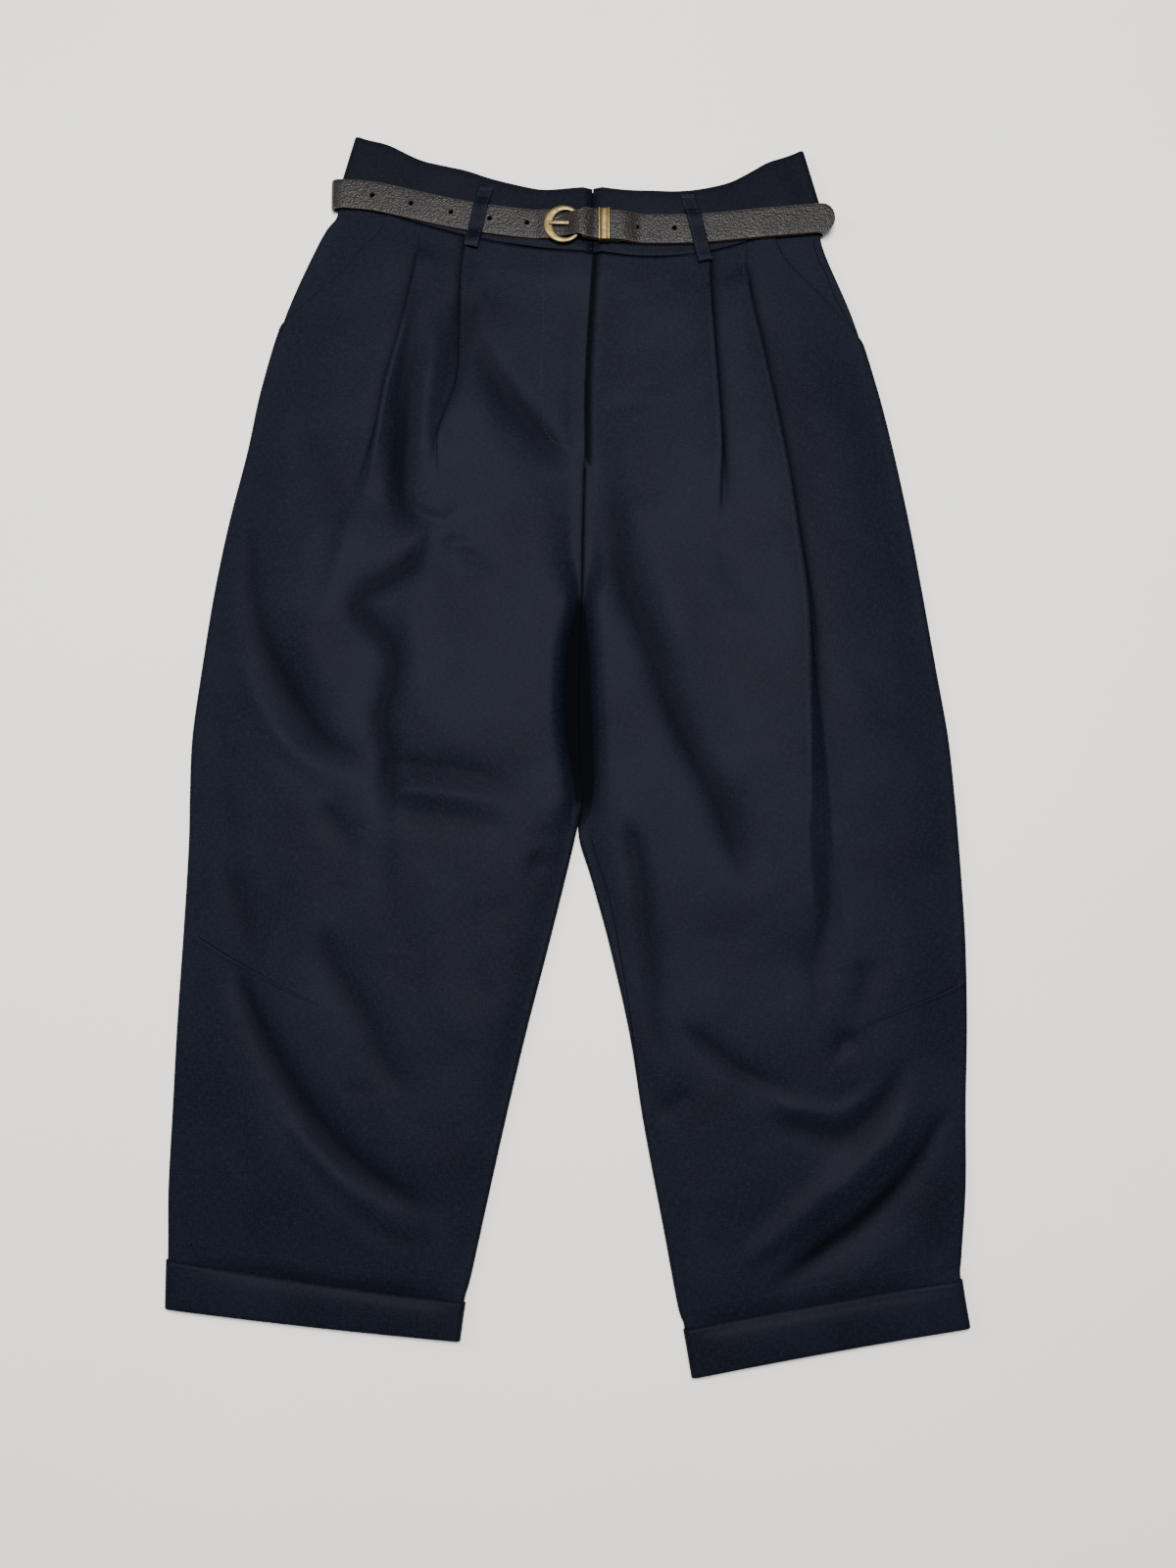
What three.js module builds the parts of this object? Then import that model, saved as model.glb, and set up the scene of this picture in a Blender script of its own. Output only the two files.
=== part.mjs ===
// Pleated trousers laid flat on their back, with their own belt.
// Millimetres. +Y runs towards the waist, +Z up from the surface they lie on.
// Left and right are the wearer's, so the right leg lies on the -X side.
import * as THREE from 'three';

// Cloth and seams
const cloth = 1.0;
const gap = 0.3;
const layer = cloth + gap;
const rollRadius = 2.4;
const rollLength = Math.PI * rollRadius;
// How far in from each edge a front reaches its full height
const innerShoulder = 15;
const outerShoulder = 20;
const rowStep = 30;
const columnsInBand = 4;
const seamLevel = 2;
// Columns of a front before, between and after its two pleats
const frontCells = { a: 6, b: 2, c: 4 };
// Extra rows where the fly's lap ends, counted in stations
const flyPlaces = [5.04, 5.2, 5.45];
// Extra rows where the slant pocket runs out at the side seam
const pocketPlaces = [3.12, 3.24, 3.36];

// Waistband, a stiff double layer
const bandWall = 2.2;
const bandRoll = 2.3;
const bandBackLevel = 4.9;
const bandCrown = 1.5;
const bandSeamClear = 0.8;
const bandSeamGap = 0.4;
const bandRows = 4;
const bandColumns = 12;

// Front crossing, pockets and pleats
const flyLap = 8;
const flyEnd = 212;
const flyLift = layer + 0.2;
const flyShoulderFrom = 6;
const flyShoulderTo = 34;
const bearerTuck = 12;
const bearerDrop = layer + 0.5;
const bearerRows = 7;
const pleatLayers = 1.5;
const pleatBend = pleatLayers / 2;
const pleatRamp = 24;
const pleatSpread = 150;

// Turn-up
const cuffDepth = 34;
const cuffLip = 12;
const cuffGape = 3.5;
const cuffTopColumns = 16;
const cuffRollColumns = 5;

// Belt, its fittings and the loops that hold it
const beltWidth = 22;
const beltThick = 2.0;
const beltTurn = beltThick + gap;
const beltBackSteps = 12;
const tipLength = 9;
const wrapPoints = 12;
const loopWidth = 11;
const loopWall = 1.0;
const loopFootRise = 4.2;
const loopEase = 1;
const loopRamp = 4.5;
const ringOuterX = 14.5;
const ringOuterY = 14.2;
const ringInnerX = 10.2;
const ringInnerY = 11;
const ringInnerShift = 1.8;
const ringSteps = 30;
const barHalf = 1.2;
const wrapRoom = 0.7;
const wrapWidth = 12;
const passWidth = 17.6;
const keeperLength = 8.4;
const keeperReach = 12.4;
const keeperWall = 0.9;
const prongWidth = 2.6;
const prongThick = 1.2;
const prongFrom = -13;
const prongTo = 1.6;

// Colours and finishes
const navy = { color: 0x131a2b, roughness: 0.82, metalness: 0 };
const navyInside = { color: 0x0f1524, roughness: 0.86, metalness: 0 };
const brown = { color: 0x3b2e2b, roughness: 0.55, metalness: 0 };
const brass = { color: 0x8f7433, roughness: 0.38, metalness: 0.9 };

// Stations down each leg: inner edge, outer edge, the sag of the line between them,
// the height that the middle stands proud, the rise of the inner edge,
// how far the inner edge is rolled under (0 to 1), and the level of the back panel.
const stationNames = [
  'innerX', 'innerY', 'outerX', 'outerY', 'sag', 'crown', 'innerRise', 'innerRoll', 'back',
];
// Columns that run straight from station to station, with no overshoot
const evenNames = ['innerRoll', 'back'];
const rightStations = [
  [19, 365, -172, 411, -9, 0.6, 0.0, 0, 4.9],
  [18, 350, -174.5, 395, -8.5, 1.2, 0.3, 0, 4.9],
  [17, 335, -186, 379, -8, 2.5, 0.6, 0, 4.4],
  [15, 305, -211.5, 322, -4, 4.0, 1.2, 0, 0.5],
  [13, 262, -228, 266, 0, 6.0, 2.0, 0, 0.5],
  [13, 214, -238, 216, 0, 7.5, 2.0, 0, 0.5],
  [12, 160, -251, 161, 0, 8.5, 0.6, 0, 0.5],
  [11, 108, -261, 108, 0, 8.5, -2.4, 0, 0.5],
  [9, 50, -269, 52, 0, 8.0, -3.2, 0, 0.5],
  [9, 0, -275, 2, 0, 7.5, -3.2, 0, 0.5],
  [11, -44, -276, -42, 0, 7.0, -2.6, 0.05, 0.5],
  [6, -70, -276, -70, 0, 6.5, 0, 0.9, 0.5],
  [-2, -104, -277, -102, 0, 6.0, 0, 1, 0.5],
  [-14, -152, -279, -146, 0, 5.5, 0, 1, 0.5],
  [-30, -214, -282, -206, 0, 5.0, 0, 1, 0.5],
  [-45, -278, -284, -264, 0, 4.5, 0, 1, 0.5],
  [-60, -346, -286, -322, 0, 3.5, 0, 1, 0.5],
  [-69, -387, -285.5, -357, -1, 1.5, 0, 1, 0.5],
  [-73.5, -403, -285.2, -373, -1, 0.6, 0, 1, 1.8],
  [-77.5, -431, -285.2, -408.5, -1, 0, 0, 1, 1.8],
];
const leftStations = [
  [19, 365, 190, 400, -16, 0.6, 0.0, 0, 4.9],
  [18, 350, 190.5, 384, -14, 1.2, 0.3, 0, 4.9],
  [17, 335, 195, 366, -12, 2.5, 0.6, 0, 4.4],
  [15, 305, 215, 318, -5, 4.0, 1.2, 0, 0.5],
  [13, 262, 231, 266, 0, 6.0, 2.0, 0, 0.5],
  [13, 214, 243, 216, 0, 7.5, 2.0, 0, 0.5],
  [12, 160, 254, 161, 0, 8.5, 0.6, 0, 0.5],
  [11, 108, 263, 108, 0, 8.5, -2.4, 0, 0.5],
  [9, 50, 272, 52, 0, 8.0, -3.2, 0, 0.5],
  [9, 0, 280, 2, 0, 7.5, -3.2, 0, 0.5],
  [11, -44, 284, -42, 0, 7.0, -2.6, 0.05, 0.5],
  [9, -70, 286, -70, 0, 6.5, 0, 0.9, 0.5],
  [19, -104, 288, -104, 0, 6.0, 0, 1, 0.5],
  [32, -152, 290, -150, 0, 5.5, 0, 1, 0.5],
  [46, -214, 290, -208, 0, 5.0, 0, 1, 0.5],
  [56, -278, 288, -266, 0, 4.5, 0, 1, 0.5],
  [70, -352, 287, -322, 0, 3.5, 0, 1, 0.5],
  [80, -406, 283, -371, 1, 1.5, 0, 1, 0.5],
  [85, -422, 282, -387.5, 1, 0.6, 0, 1, 1.8],
  [91, -456.5, 287, -422, 1, 0, 0, 1, 1.8],
];

// Waistband depth above the waist seam, at shares of the way from front centre to side
const rightBandDepth = [[0, 50], [0.17, 45], [0.4, 48], [0.5, 50], [0.7, 47], [0.86, 50], [1, 45]];
const leftBandDepth = [[0, 50], [0.23, 51], [0.44, 49], [0.63, 48], [0.82, 52], [1, 45]];
const bandLean = 13;

// Knife pleats: the path of the fold edge, the depth tucked under at the waist, the heights
// where the tuck is used up and where the step has faded, and the ridge that it leaves
const rightPleats = [
  {
    path: [[-77, 368], [-79, 335], [-81, 290], [-85, 255], [-97, 225], [-102, 200]],
    tuck: 12, open: 255, fade: 195, ridge: 2.5,
  },
  {
    path: [[-108, 385], [-113, 352], [-125, 305], [-140, 245], [-149, 199], [-165, 141], [-188, 96]],
    tuck: 15, open: 235, fade: 90, ridge: 4.0,
  },
];
const leftPleats = [
  {
    path: [[106, 368], [107, 334], [109, 300], [113, 248], [117, 190], [119, 160]],
    tuck: 12, open: 240, fade: 160, ridge: 2.5,
  },
  {
    path: [[134, 378], [136, 340], [149, 276], [162, 210], [175, 124], [183, 29], [187, -90], [181, -195]],
    tuck: 15, open: 200, fade: -170, ridge: 4.5,
  },
];

// Slant pocket: inset of the front's edge from the side, at heights down the side
const rightPocket = [[412, 44], [380, 33], [350, 18], [322, 7], [303, 0]];
const leftPocket = [[402, 42], [370, 33], [340, 18], [312, 7], [296, 0]];

// Largest folds: start, middle and end of the line, its half width and height
const foldNames = ['x0', 'y0', 'x1', 'y1', 'x2', 'y2', 'width', 'height'];
const rightFolds = [
  [-117, 300, -126, 220, -106, 152, 12, -4.5],
  [-68, 305, -27, 241, 2, 190, 13, -4.5],
  [-128, 125, -150, 104, -190, 96, 13, -3.0],
  [-233, 115, -203, 35, -145, -10, 15, -5.5],
  [-238, 60, -205, -5, -150, -32, 14, 3.0],
  [-131, 74, -134, 30, -128, -5, 12, -4.5],
  [-138, -20, -90, -24, -42, -42, 10, -4.0],
  [-130, -36, -95, -39, -55, -50, 9, 2.5],
  [-258, 9, -250, -75, -232, -146, 16, -3.0],
  [-243, -168, -190, -262, -80, -345, 16, -5.5],
  [-210, -170, -155, -240, -70, -310, 22, 2.5],
  [-170, -142, -150, -200, -127, -243, 14, -3.0],
];
const leftFolds = [
  [20, 190, 72, 35, 130, -100, 16, -5.5],
  [60, 165, 112, 35, 150, -70, 24, 2.5],
  [48, -40, 57, -140, 74, -238, 12, -3.0],
  [88, -206, 185, -276, 255, -220, 15, -4.5],
  [284, -264, 228, -330, 148, -397, 15, -5.5],
  [268, -232, 200, -298, 120, -348, 20, 3.5],
];

// Belt line across the front, and the centre of its buckle
const beltLine = [[-178, 412], [-146, 410], [-117, 403], [-87, 396], [-58, 391], [-25, 387],
  [28, 385], [60, 382.5], [99, 383], [147, 388], [191, 392], [204, 393]];
const buckleX = -3;
const barX = 8;
const passX = 1;
const keeperX = 27.5;
const foldBackEnd = 41;
const beltTip = 200;
const beltBackLevel = loopWall + gap + beltThick / 2;
// The run behind: its two turns at the sides, and how far it dips between them
const rightTurn = { x: -171.5, y: 411.5 };
const leftTurn = { x: 187.5, y: 392 };
const beltBackDip = 13;

// Belt loops: upper and lower ends of the two at the front, places of the three behind
const frontLoops = [
  { name: 'belt_loop_front_right', top: [-61, 417], foot: [-72, 369], straps: 1 },
  { name: 'belt_loop_front_left', top: [90, 411], foot: [103, 358], straps: 2 },
];
const backLoopPlaces = [
  { name: 'belt_loop_back_right', x: -112 },
  { name: 'belt_loop_back_centre', x: 8 },
  { name: 'belt_loop_back_left', x: 126 },
];
const backLoopReach = 21;

// Small helpers
const mix = THREE.MathUtils.lerp;
const smooth = THREE.MathUtils.smoothstep;
const clamp = THREE.MathUtils.clamp;

function readTable(names, rows) {
  return rows.map((row) => Object.fromEntries(names.map((name, i) => [name, row[i]])));
}

// Smooth value of a list at a place counted in list steps
function smoothAt(values, place) {
  const i = clamp(Math.floor(place), 0, values.length - 2);
  const t = place - i;
  const at = (k) => values[clamp(k, 0, values.length - 1)];
  const slopeA = (at(i + 1) - at(i - 1)) / 2;
  const slopeB = (at(i + 2) - at(i)) / 2;
  const t2 = t * t;
  const t3 = t2 * t;
  return at(i) * (2 * t3 - 3 * t2 + 1) + slopeA * (t3 - 2 * t2 + t)
    + at(i + 1) * (3 * t2 - 2 * t3) + slopeB * (t3 - t2);
}

// Value of a short table of [place, value] rows, in rising or falling order
function lookUp(rows, place) {
  const rising = rows[rows.length - 1][0] > rows[0][0];
  for (let i = 1; i < rows.length; i += 1) {
    const [a, valueA] = rows[i - 1];
    const [b, valueB] = rows[i];
    const inside = rising ? place <= b : place >= b;
    if (inside) {
      return mix(valueA, valueB, clamp((place - a) / (b - a), 0, 1));
    }
  }
  return rows[rows.length - 1][1];
}

// A closed solid from points and triangles, turned so that its faces point out
function closedSolid(points, triangles) {
  let volume = 0;
  const cross = new THREE.Vector3();
  for (const [a, b, c] of triangles) {
    volume += points[a].dot(cross.crossVectors(points[b], points[c]));
  }
  const ordered = volume > 0 ? triangles : triangles.map(([a, b, c]) => [a, c, b]);
  const geometry = new THREE.BufferGeometry();
  geometry.setFromPoints(points);
  geometry.setIndex(ordered.flat());
  geometry.computeVertexNormals();
  return geometry;
}

// A wall of even thickness about a grid of points on its middle surface
function wall(grid, thickness) {
  const rows = grid.length;
  const columns = grid[0].length;
  const points = [];
  const sides = [0.5, -0.5];
  for (const side of sides) {
    for (let i = 0; i < rows; i += 1) {
      for (let j = 0; j < columns; j += 1) {
        const across = grid[i][Math.min(j + 1, columns - 1)].clone().sub(grid[i][Math.max(j - 1, 0)]);
        const along = grid[Math.min(i + 1, rows - 1)][j].clone().sub(grid[Math.max(i - 1, 0)][j]);
        const normal = across.cross(along).normalize();
        points.push(grid[i][j].clone().addScaledVector(normal, side * thickness));
      }
    }
  }
  const at = (side, i, j) => side * rows * columns + i * columns + j;
  const triangles = [];
  const quad = (a, b, c, d) => triangles.push([a, b, c], [a, c, d]);
  for (let i = 0; i < rows - 1; i += 1) {
    for (let j = 0; j < columns - 1; j += 1) {
      quad(at(0, i, j), at(0, i, j + 1), at(0, i + 1, j + 1), at(0, i + 1, j));
      quad(at(1, i, j), at(1, i + 1, j), at(1, i + 1, j + 1), at(1, i, j + 1));
    }
    quad(at(0, i, 0), at(0, i + 1, 0), at(1, i + 1, 0), at(1, i, 0));
    quad(at(0, i, columns - 1), at(1, i, columns - 1), at(1, i + 1, columns - 1), at(0, i + 1, columns - 1));
  }
  for (let j = 0; j < columns - 1; j += 1) {
    quad(at(0, 0, j), at(1, 0, j), at(1, 0, j + 1), at(0, 0, j + 1));
    quad(at(0, rows - 1, j), at(0, rows - 1, j + 1), at(1, rows - 1, j + 1), at(1, rows - 1, j));
  }
  return closedSolid(points, triangles);
}

// A solid swept through closed sections, joined end to end or capped
function sweep(sections, joined) {
  const count = sections.length;
  const size = sections[0].length;
  const points = sections.flat();
  const triangles = [];
  const spans = joined ? count : count - 1;
  for (let i = 0; i < spans; i += 1) {
    const next = (i + 1) % count;
    for (let j = 0; j < size; j += 1) {
      const k = (j + 1) % size;
      triangles.push([i * size + j, i * size + k, next * size + k]);
      triangles.push([i * size + j, next * size + k, next * size + j]);
    }
  }
  if (!joined) {
    for (let j = 1; j < size - 1; j += 1) {
      triangles.push([0, j + 1, j]);
      triangles.push([(count - 1) * size, (count - 1) * size + j, (count - 1) * size + j + 1]);
    }
  }
  return closedSolid(points, triangles);
}

// A flat strap swept along a path that bends only in one upright plane
function strap(path, width, thickness, widthAt = () => width) {
  const sections = path.map((point, i) => {
    const before = path[Math.max(i - 1, 0)];
    const after = path[Math.min(i + 1, path.length - 1)];
    const along = after.clone().sub(before).normalize();
    const lateral = path.lateral.clone().addScaledVector(along, -path.lateral.dot(along)).normalize();
    const normal = along.clone().cross(lateral).normalize();
    const half = widthAt(i) / 2;
    const corner = (side, face) => point.clone().addScaledVector(lateral, side * half)
      .addScaledVector(normal, face * thickness / 2);
    return [corner(1, 1), corner(-1, 1), corner(-1, -1), corner(1, -1)];
  });
  return sweep(sections, false);
}

// One leg's sections
function makeLeg(side, stations, bandDepth, pleats, pocket, folds) {
  const rows = readTable(stationNames, stations);
  return { side, rows, bandDepth, pleats, pocket, folds: readTable(foldNames, folds).map(foldLine) };
}

// A fold's line as a short run of points through its three
function foldLine(fold) {
  const start = new THREE.Vector2(fold.x0, fold.y0);
  const middle = new THREE.Vector2(fold.x1, fold.y1);
  const end = new THREE.Vector2(fold.x2, fold.y2);
  const handle = middle.multiplyScalar(2).addScaledVector(start, -0.5).addScaledVector(end, -0.5);
  const curve = new THREE.QuadraticBezierCurve(start, handle, end);
  return { ...fold, points: curve.getPoints(10) };
}

function foldHeight(leg, x, y) {
  let total = 0;
  for (const fold of leg.folds) {
    let nearest = Infinity;
    let share = 0;
    for (let i = 1; i < fold.points.length; i += 1) {
      const a = fold.points[i - 1];
      const b = fold.points[i];
      const run = b.clone().sub(a);
      const t = clamp(((x - a.x) * run.x + (y - a.y) * run.y) / run.lengthSq(), 0, 1);
      const distance = Math.hypot(a.x + run.x * t - x, a.y + run.y * t - y);
      if (distance < nearest) {
        nearest = distance;
        share = (i - 1 + t) / (fold.points.length - 1);
      }
    }
    const fade = smooth(share, 0, 0.25) * (1 - smooth(share, 0.75, 1));
    total += fold.height * fade * Math.exp(-((nearest / fold.width) ** 2));
  }
  return total;
}

// The leg's row at a place counted in stations
function rowAt(leg, place) {
  const row = {};
  for (const name of stationNames) {
    row[name] = smoothAt(leg.rows.map((station) => station[name]), place);
  }
  for (const name of evenNames) {
    const below = leg.rows[Math.floor(place)];
    const above = leg.rows[Math.min(Math.floor(place) + 1, leg.rows.length - 1)];
    row[name] = mix(below[name], above[name], place - Math.floor(place));
  }
  const inner = new THREE.Vector2(row.innerX, row.innerY);
  const outer = new THREE.Vector2(row.outerX, row.outerY);
  row.across = outer.clone().sub(inner).normalize();
  const turn = row.innerRoll * Math.PI;
  row.innerReach = turn < 0.05 ? rollLength : (rollLength / turn) * Math.sin(Math.min(turn, Math.PI / 2));
  row.start = inner.addScaledVector(row.across, row.innerReach);
  row.end = outer.addScaledVector(row.across, -rollRadius);
  row.width = row.end.distanceTo(row.start);
  row.level = row.back + 2 * rollRadius;
  return row;
}

function pleatAt(leg, row, pleat) {
  const byHeight = pleat.path.map(([x, y]) => [y, x]);
  const heightAt = (distance) => row.start.y + row.across.y * distance + sagAt(row, distance);
  let distance = row.width / 2;
  for (let i = 0; i < 8; i += 1) {
    distance = (lookUp(byHeight, heightAt(distance)) - row.start.x) / row.across.x;
  }
  const y = heightAt(distance);
  return {
    edge: distance,
    tuck: pleat.tuck * clamp((y - pleat.open) / (pleat.path[0][1] - pleat.open), 0, 1),
    folded: smooth(y, pleat.fade, pleat.open),
    gathered: smooth(y, pleat.fade - pleatSpread, pleat.open),
    ridge: pleat.ridge * smooth(y, pleat.fade, pleat.fade + 60) * (1 - smooth(y, 300, 370)),
  };
}

function sagAt(row, distance) {
  const share = clamp(distance / row.width, 0, 1);
  return row.sag * 4 * share * (1 - share);
}

// Height of the front above its level, without the pleats
function frontRise(leg, row, distance, x, y) {
  const fromInner = Math.max(distance, 0);
  const fromOuter = Math.max(row.width - distance, 0);
  const inner = 1 - Math.exp(-((fromInner / innerShoulder) ** 1.5));
  const outer = 1 - Math.exp(-((fromOuter / outerShoulder) ** 1.5));
  const dome = row.crown * outer * (0.8 + 0.2 * Math.sin((Math.PI * fromInner) / row.width));
  return mix(row.innerRise, dome, inner) + foldHeight(leg, x, y) * inner * outer;
}

// A point of the front at a distance from the start of its row
function frontPoint(leg, row, distance, lift = 0) {
  const x = row.start.x + row.across.x * distance;
  const y = row.start.y + row.across.y * distance + sagAt(row, distance);
  const floorRise = Math.max(row.level + frontRise(leg, row, distance, x, y), row.back + layer + 0.2);
  return new THREE.Vector3(x, y, floorRise + lift);
}

// A point past the start or end of a row's top, round the rolled edge
function edgePoint(leg, row, edge, arc, offset = 0) {
  const outward = edge === 'outer' ? 1 : -1;
  const rowEnd = edge === 'outer' ? row.width : 0;
  if (arc <= 0) {
    return frontPoint(leg, row, rowEnd + outward * arc, offset);
  }
  const turn = edge === 'outer' ? Math.PI : row.innerRoll * Math.PI;
  const angle = turn * (arc / rollLength);
  const radius = rollLength / Math.max(turn, 0.05);
  const out = turn < 0.05 ? arc : radius * Math.sin(angle);
  const drop = turn < 0.05 ? 0 : radius * (1 - Math.cos(angle));
  const top = frontPoint(leg, row, rowEnd);
  const reach = outward * (out + offset * Math.sin(angle));
  return new THREE.Vector3(
    top.x + row.across.x * reach,
    top.y + row.across.y * reach,
    Math.max(top.z - drop + offset * Math.cos(angle), row.back + offset * Math.cos(angle)),
  );
}

// Places down the leg where rows lie, about rowStep apart
function rowPlaces(leg, first, last, step = rowStep) {
  const places = [];
  for (let i = first; i < last; i += 1) {
    const run = Math.abs(leg.rows[i + 1].outerY - leg.rows[i].outerY);
    const pieces = Math.max(1, Math.round(run / step));
    for (let k = 0; k < pieces; k += 1) {
      places.push(i + k / pieces);
    }
  }
  places.push(last);
  return places;
}

// The folded profile of a pleat: distances from the fold edge and heights, top layer first
function pleatProfile(tuck) {
  const profile = [];
  for (const degrees of [90, 30, -30, -90]) {
    const angle = THREE.MathUtils.degToRad(degrees);
    profile.push([pleatBend * (Math.cos(angle) - 1), 1.5 * pleatLayers + pleatBend * Math.sin(angle)]);
  }
  for (const degrees of [90, 150, 210, 270]) {
    const angle = THREE.MathUtils.degToRad(degrees);
    profile.push([pleatBend * (Math.cos(angle) - 1) - tuck, 0.5 * pleatLayers + pleatBend * Math.sin(angle)]);
  }
  return profile;
}

// One row of a front panel, from its inner edge to its pocket or side edge
function frontRow(leg, row, cells) {
  const y = row.start.y;
  const lapped = leg.side === 'left' ? flyLap * smooth(y, flyEnd - 10, flyEnd) : 0;
  const liftAtFly = leg.side === 'right' ? flyLift * smooth(y, flyEnd - 25, flyEnd - 11) : 0;
  const flyLiftAt = (distance) => liftAtFly * (1 - smooth(distance, flyShoulderFrom, flyShoulderTo));
  const inset = lookUp(leg.pocket, row.end.y);
  const points = [];
  for (let k = 0; k < columnsInBand; k += 1) {
    const arc = rollLength * (1 - k / columnsInBand);
    const point = edgePoint(leg, row, 'inner', arc);
    const seam = (gap / 2 - lapped) * (1 - row.innerRoll) * (arc / rollLength);
    point.x += row.across.x * seam;
    point.y += row.across.y * seam;
    point.z += flyLiftAt(-arc);
    points.push(point);
  }
  const pleats = leg.pleats.map((pleat) => pleatAt(leg, row, pleat));
  const edge = row.width - inset;
  const total = cells.a + cells.b + cells.c + 14;
  const natural = (count) => (edge * count) / total;
  const starts = [cells.a, cells.a + 7 + cells.b];
  const marks = pleats.map((pleat, n) => {
    const profile = pleatProfile(pleat.tuck);
    return profile.map(([offset, height], k) => ({
      distance: mix(natural(starts[n] + k), pleat.edge + offset, pleat.gathered),
      z: pleat.folded * height + pleat.ridge * (1 - k / 7),
    }));
  });
  const rampInto = (distance) => pleats.reduce((sum, pleat, n) => {
    const mark = marks[n][0];
    return sum + (distance < mark.distance ? mark.z * Math.exp(-(mark.distance - distance) / pleatRamp) : 0);
  }, 0);
  const spread = (from, to, count, skipFirst) => {
    for (let k = skipFirst ? 1 : 0; k < count; k += 1) {
      const distance = mix(from, to, k / count);
      points.push(frontPoint(leg, row, distance, rampInto(distance) + flyLiftAt(distance)));
    }
  };
  spread(0, marks[0][0].distance, cells.a, false);
  marks.forEach((profile, n) => {
    for (const mark of profile) {
      const later = n === 0 ? marks[1][0] : null;
      const ramp = later ? later.z * Math.exp(-Math.max(later.distance - mark.distance, 0) / pleatRamp) : 0;
      points.push(frontPoint(leg, row, mark.distance, mark.z + ramp));
    }
    const to = n === 0 ? marks[1][0].distance : edge;
    spread(profile[7].distance, to, n === 0 ? cells.b : cells.c, true);
  });
  for (let k = 0; k <= columnsInBand; k += 1) {
    points.push(edgePoint(leg, row, 'outer', (rollLength * k) / columnsInBand - inset));
  }
  return points;
}

// The edge sewn into the waistband lies level for a short way
function levelTop(grid) {
  const second = grid[0].map((point) => new THREE.Vector3(point.x, point.y - seamLevel, point.z));
  return [grid[0], second, ...grid.slice(1)];
}

function frontPanel(leg) {
  const extra = [...pocketPlaces, ...flyPlaces];
  const places = [...rowPlaces(leg, 0, leg.rows.length - 1.2), ...extra].sort((a, b) => a - b);
  const grid = places.map((place) => frontRow(leg, rowAt(leg, place), frontCells));
  return wall(levelTop(grid), cloth);
}

// The back lies on the surface and ends at the seams under the rolled edges
function backPanel(leg) {
  const columns = 8;
  const places = rowPlaces(leg, 0, leg.rows.length - 1.2, 30);
  const grid = places.map((place) => {
    const row = rowAt(leg, place);
    const from = -rollLength * (1 - row.innerRoll) + mix(gap / 2, gap, row.innerRoll);
    const to = row.width - gap;
    return Array.from({ length: columns + 1 }, (_, k) => {
      const distance = mix(from, to, k / columns);
      const x = row.start.x + row.across.x * distance;
      const y = row.start.y + row.across.y * distance + sagAt(row, distance);
      return new THREE.Vector3(x, y, row.back);
    });
  });
  return wall(grid, cloth);
}

// The pocket's bearer: the side piece seen behind the slant edge, tucked under the front
function pocketBearer(leg) {
  const places = [...rowPlaces(leg, 0, 3), ...pocketPlaces];
  const grid = places.map((place) => {
    const row = rowAt(leg, place);
    const inset = lookUp(leg.pocket, row.end.y);
    const from = -inset - bearerTuck;
    const flat = Array.from({ length: bearerRows }, (_, k) => mix(from, 0, k / bearerRows));
    const round = Array.from({ length: columnsInBand + 1 }, (_, k) => (rollLength * k) / columnsInBand);
    return [...flat, ...round].map((arc) => edgePoint(leg, row, 'outer', arc, -bearerDrop));
  });
  return wall(levelTop(grid), cloth);
}

// The waistband rises from the waist seam
function bandPoint(leg, share, height, level) {
  const row = rowAt(leg, 0);
  const outerRun = row.width + rollRadius - bandRoll;
  const distance = share < 0 ? -rollLength + gap : outerRun * share;
  const lean = leg.side === 'right' ? bandLean : -bandLean;
  const along = Math.max(share, 0);
  const x = row.start.x + row.across.x * distance + lean * along * along * height;
  const seamY = row.start.y + row.across.y * distance + sagAt(row, distance) + bandSeamGap;
  const depth = lookUp(leg.bandDepth, along);
  return new THREE.Vector3(x, seamY + depth * height, level);
}

function bandFront(leg) {
  const across = rowAt(leg, 0).across;
  const grid = [];
  for (let i = 0; i <= bandRows; i += 1) {
    const height = 1 - i / bandRows;
    const row = [];
    for (let k = -1; k < bandColumns; k += 1) {
      const share = k / bandColumns;
      row.push(bandPoint(leg, share, height, bandBackLevel + 2 * bandRoll + bandCrown * (1 - share * share)));
    }
    for (let k = 0; k <= columnsInBand; k += 1) {
      const angle = (Math.PI * k) / columnsInBand;
      const point = bandPoint(leg, 1, height, bandBackLevel + bandRoll * (1 + Math.cos(angle)));
      point.x += across.x * bandRoll * Math.sin(angle);
      point.y += across.y * bandRoll * Math.sin(angle);
      row.push(point);
    }
    grid.push(row);
  }
  return wall(grid, bandWall);
}

function bandBack(rightLeg, leftLeg) {
  const grid = [];
  for (let i = 0; i <= bandRows; i += 1) {
    const height = 0.97 * (1 - i / bandRows);
    const row = [];
    for (let k = bandColumns; k > -bandColumns; k -= 1) {
      const leg = k > 0 ? rightLeg : leftLeg;
      const share = Math.abs(k) / bandColumns;
      const point = bandPoint(leg, share, height, bandBackLevel);
      if (k === bandColumns) {
        point.x += bandSeamClear;
      }
      row.push(point);
    }
    const last = bandPoint(leftLeg, 1, height, bandBackLevel);
    last.x -= bandSeamClear;
    row.push(last);
    grid.push(row);
  }
  return wall(grid, bandWall);
}

// Top face of the waistband's front under the belt
function bandTop(x) {
  const share = clamp(Math.abs(x - 19) / 180, 0, 1);
  return bandBackLevel + 2 * bandRoll + bandCrown * (1 - share * share) + bandWall / 2;
}

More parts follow.
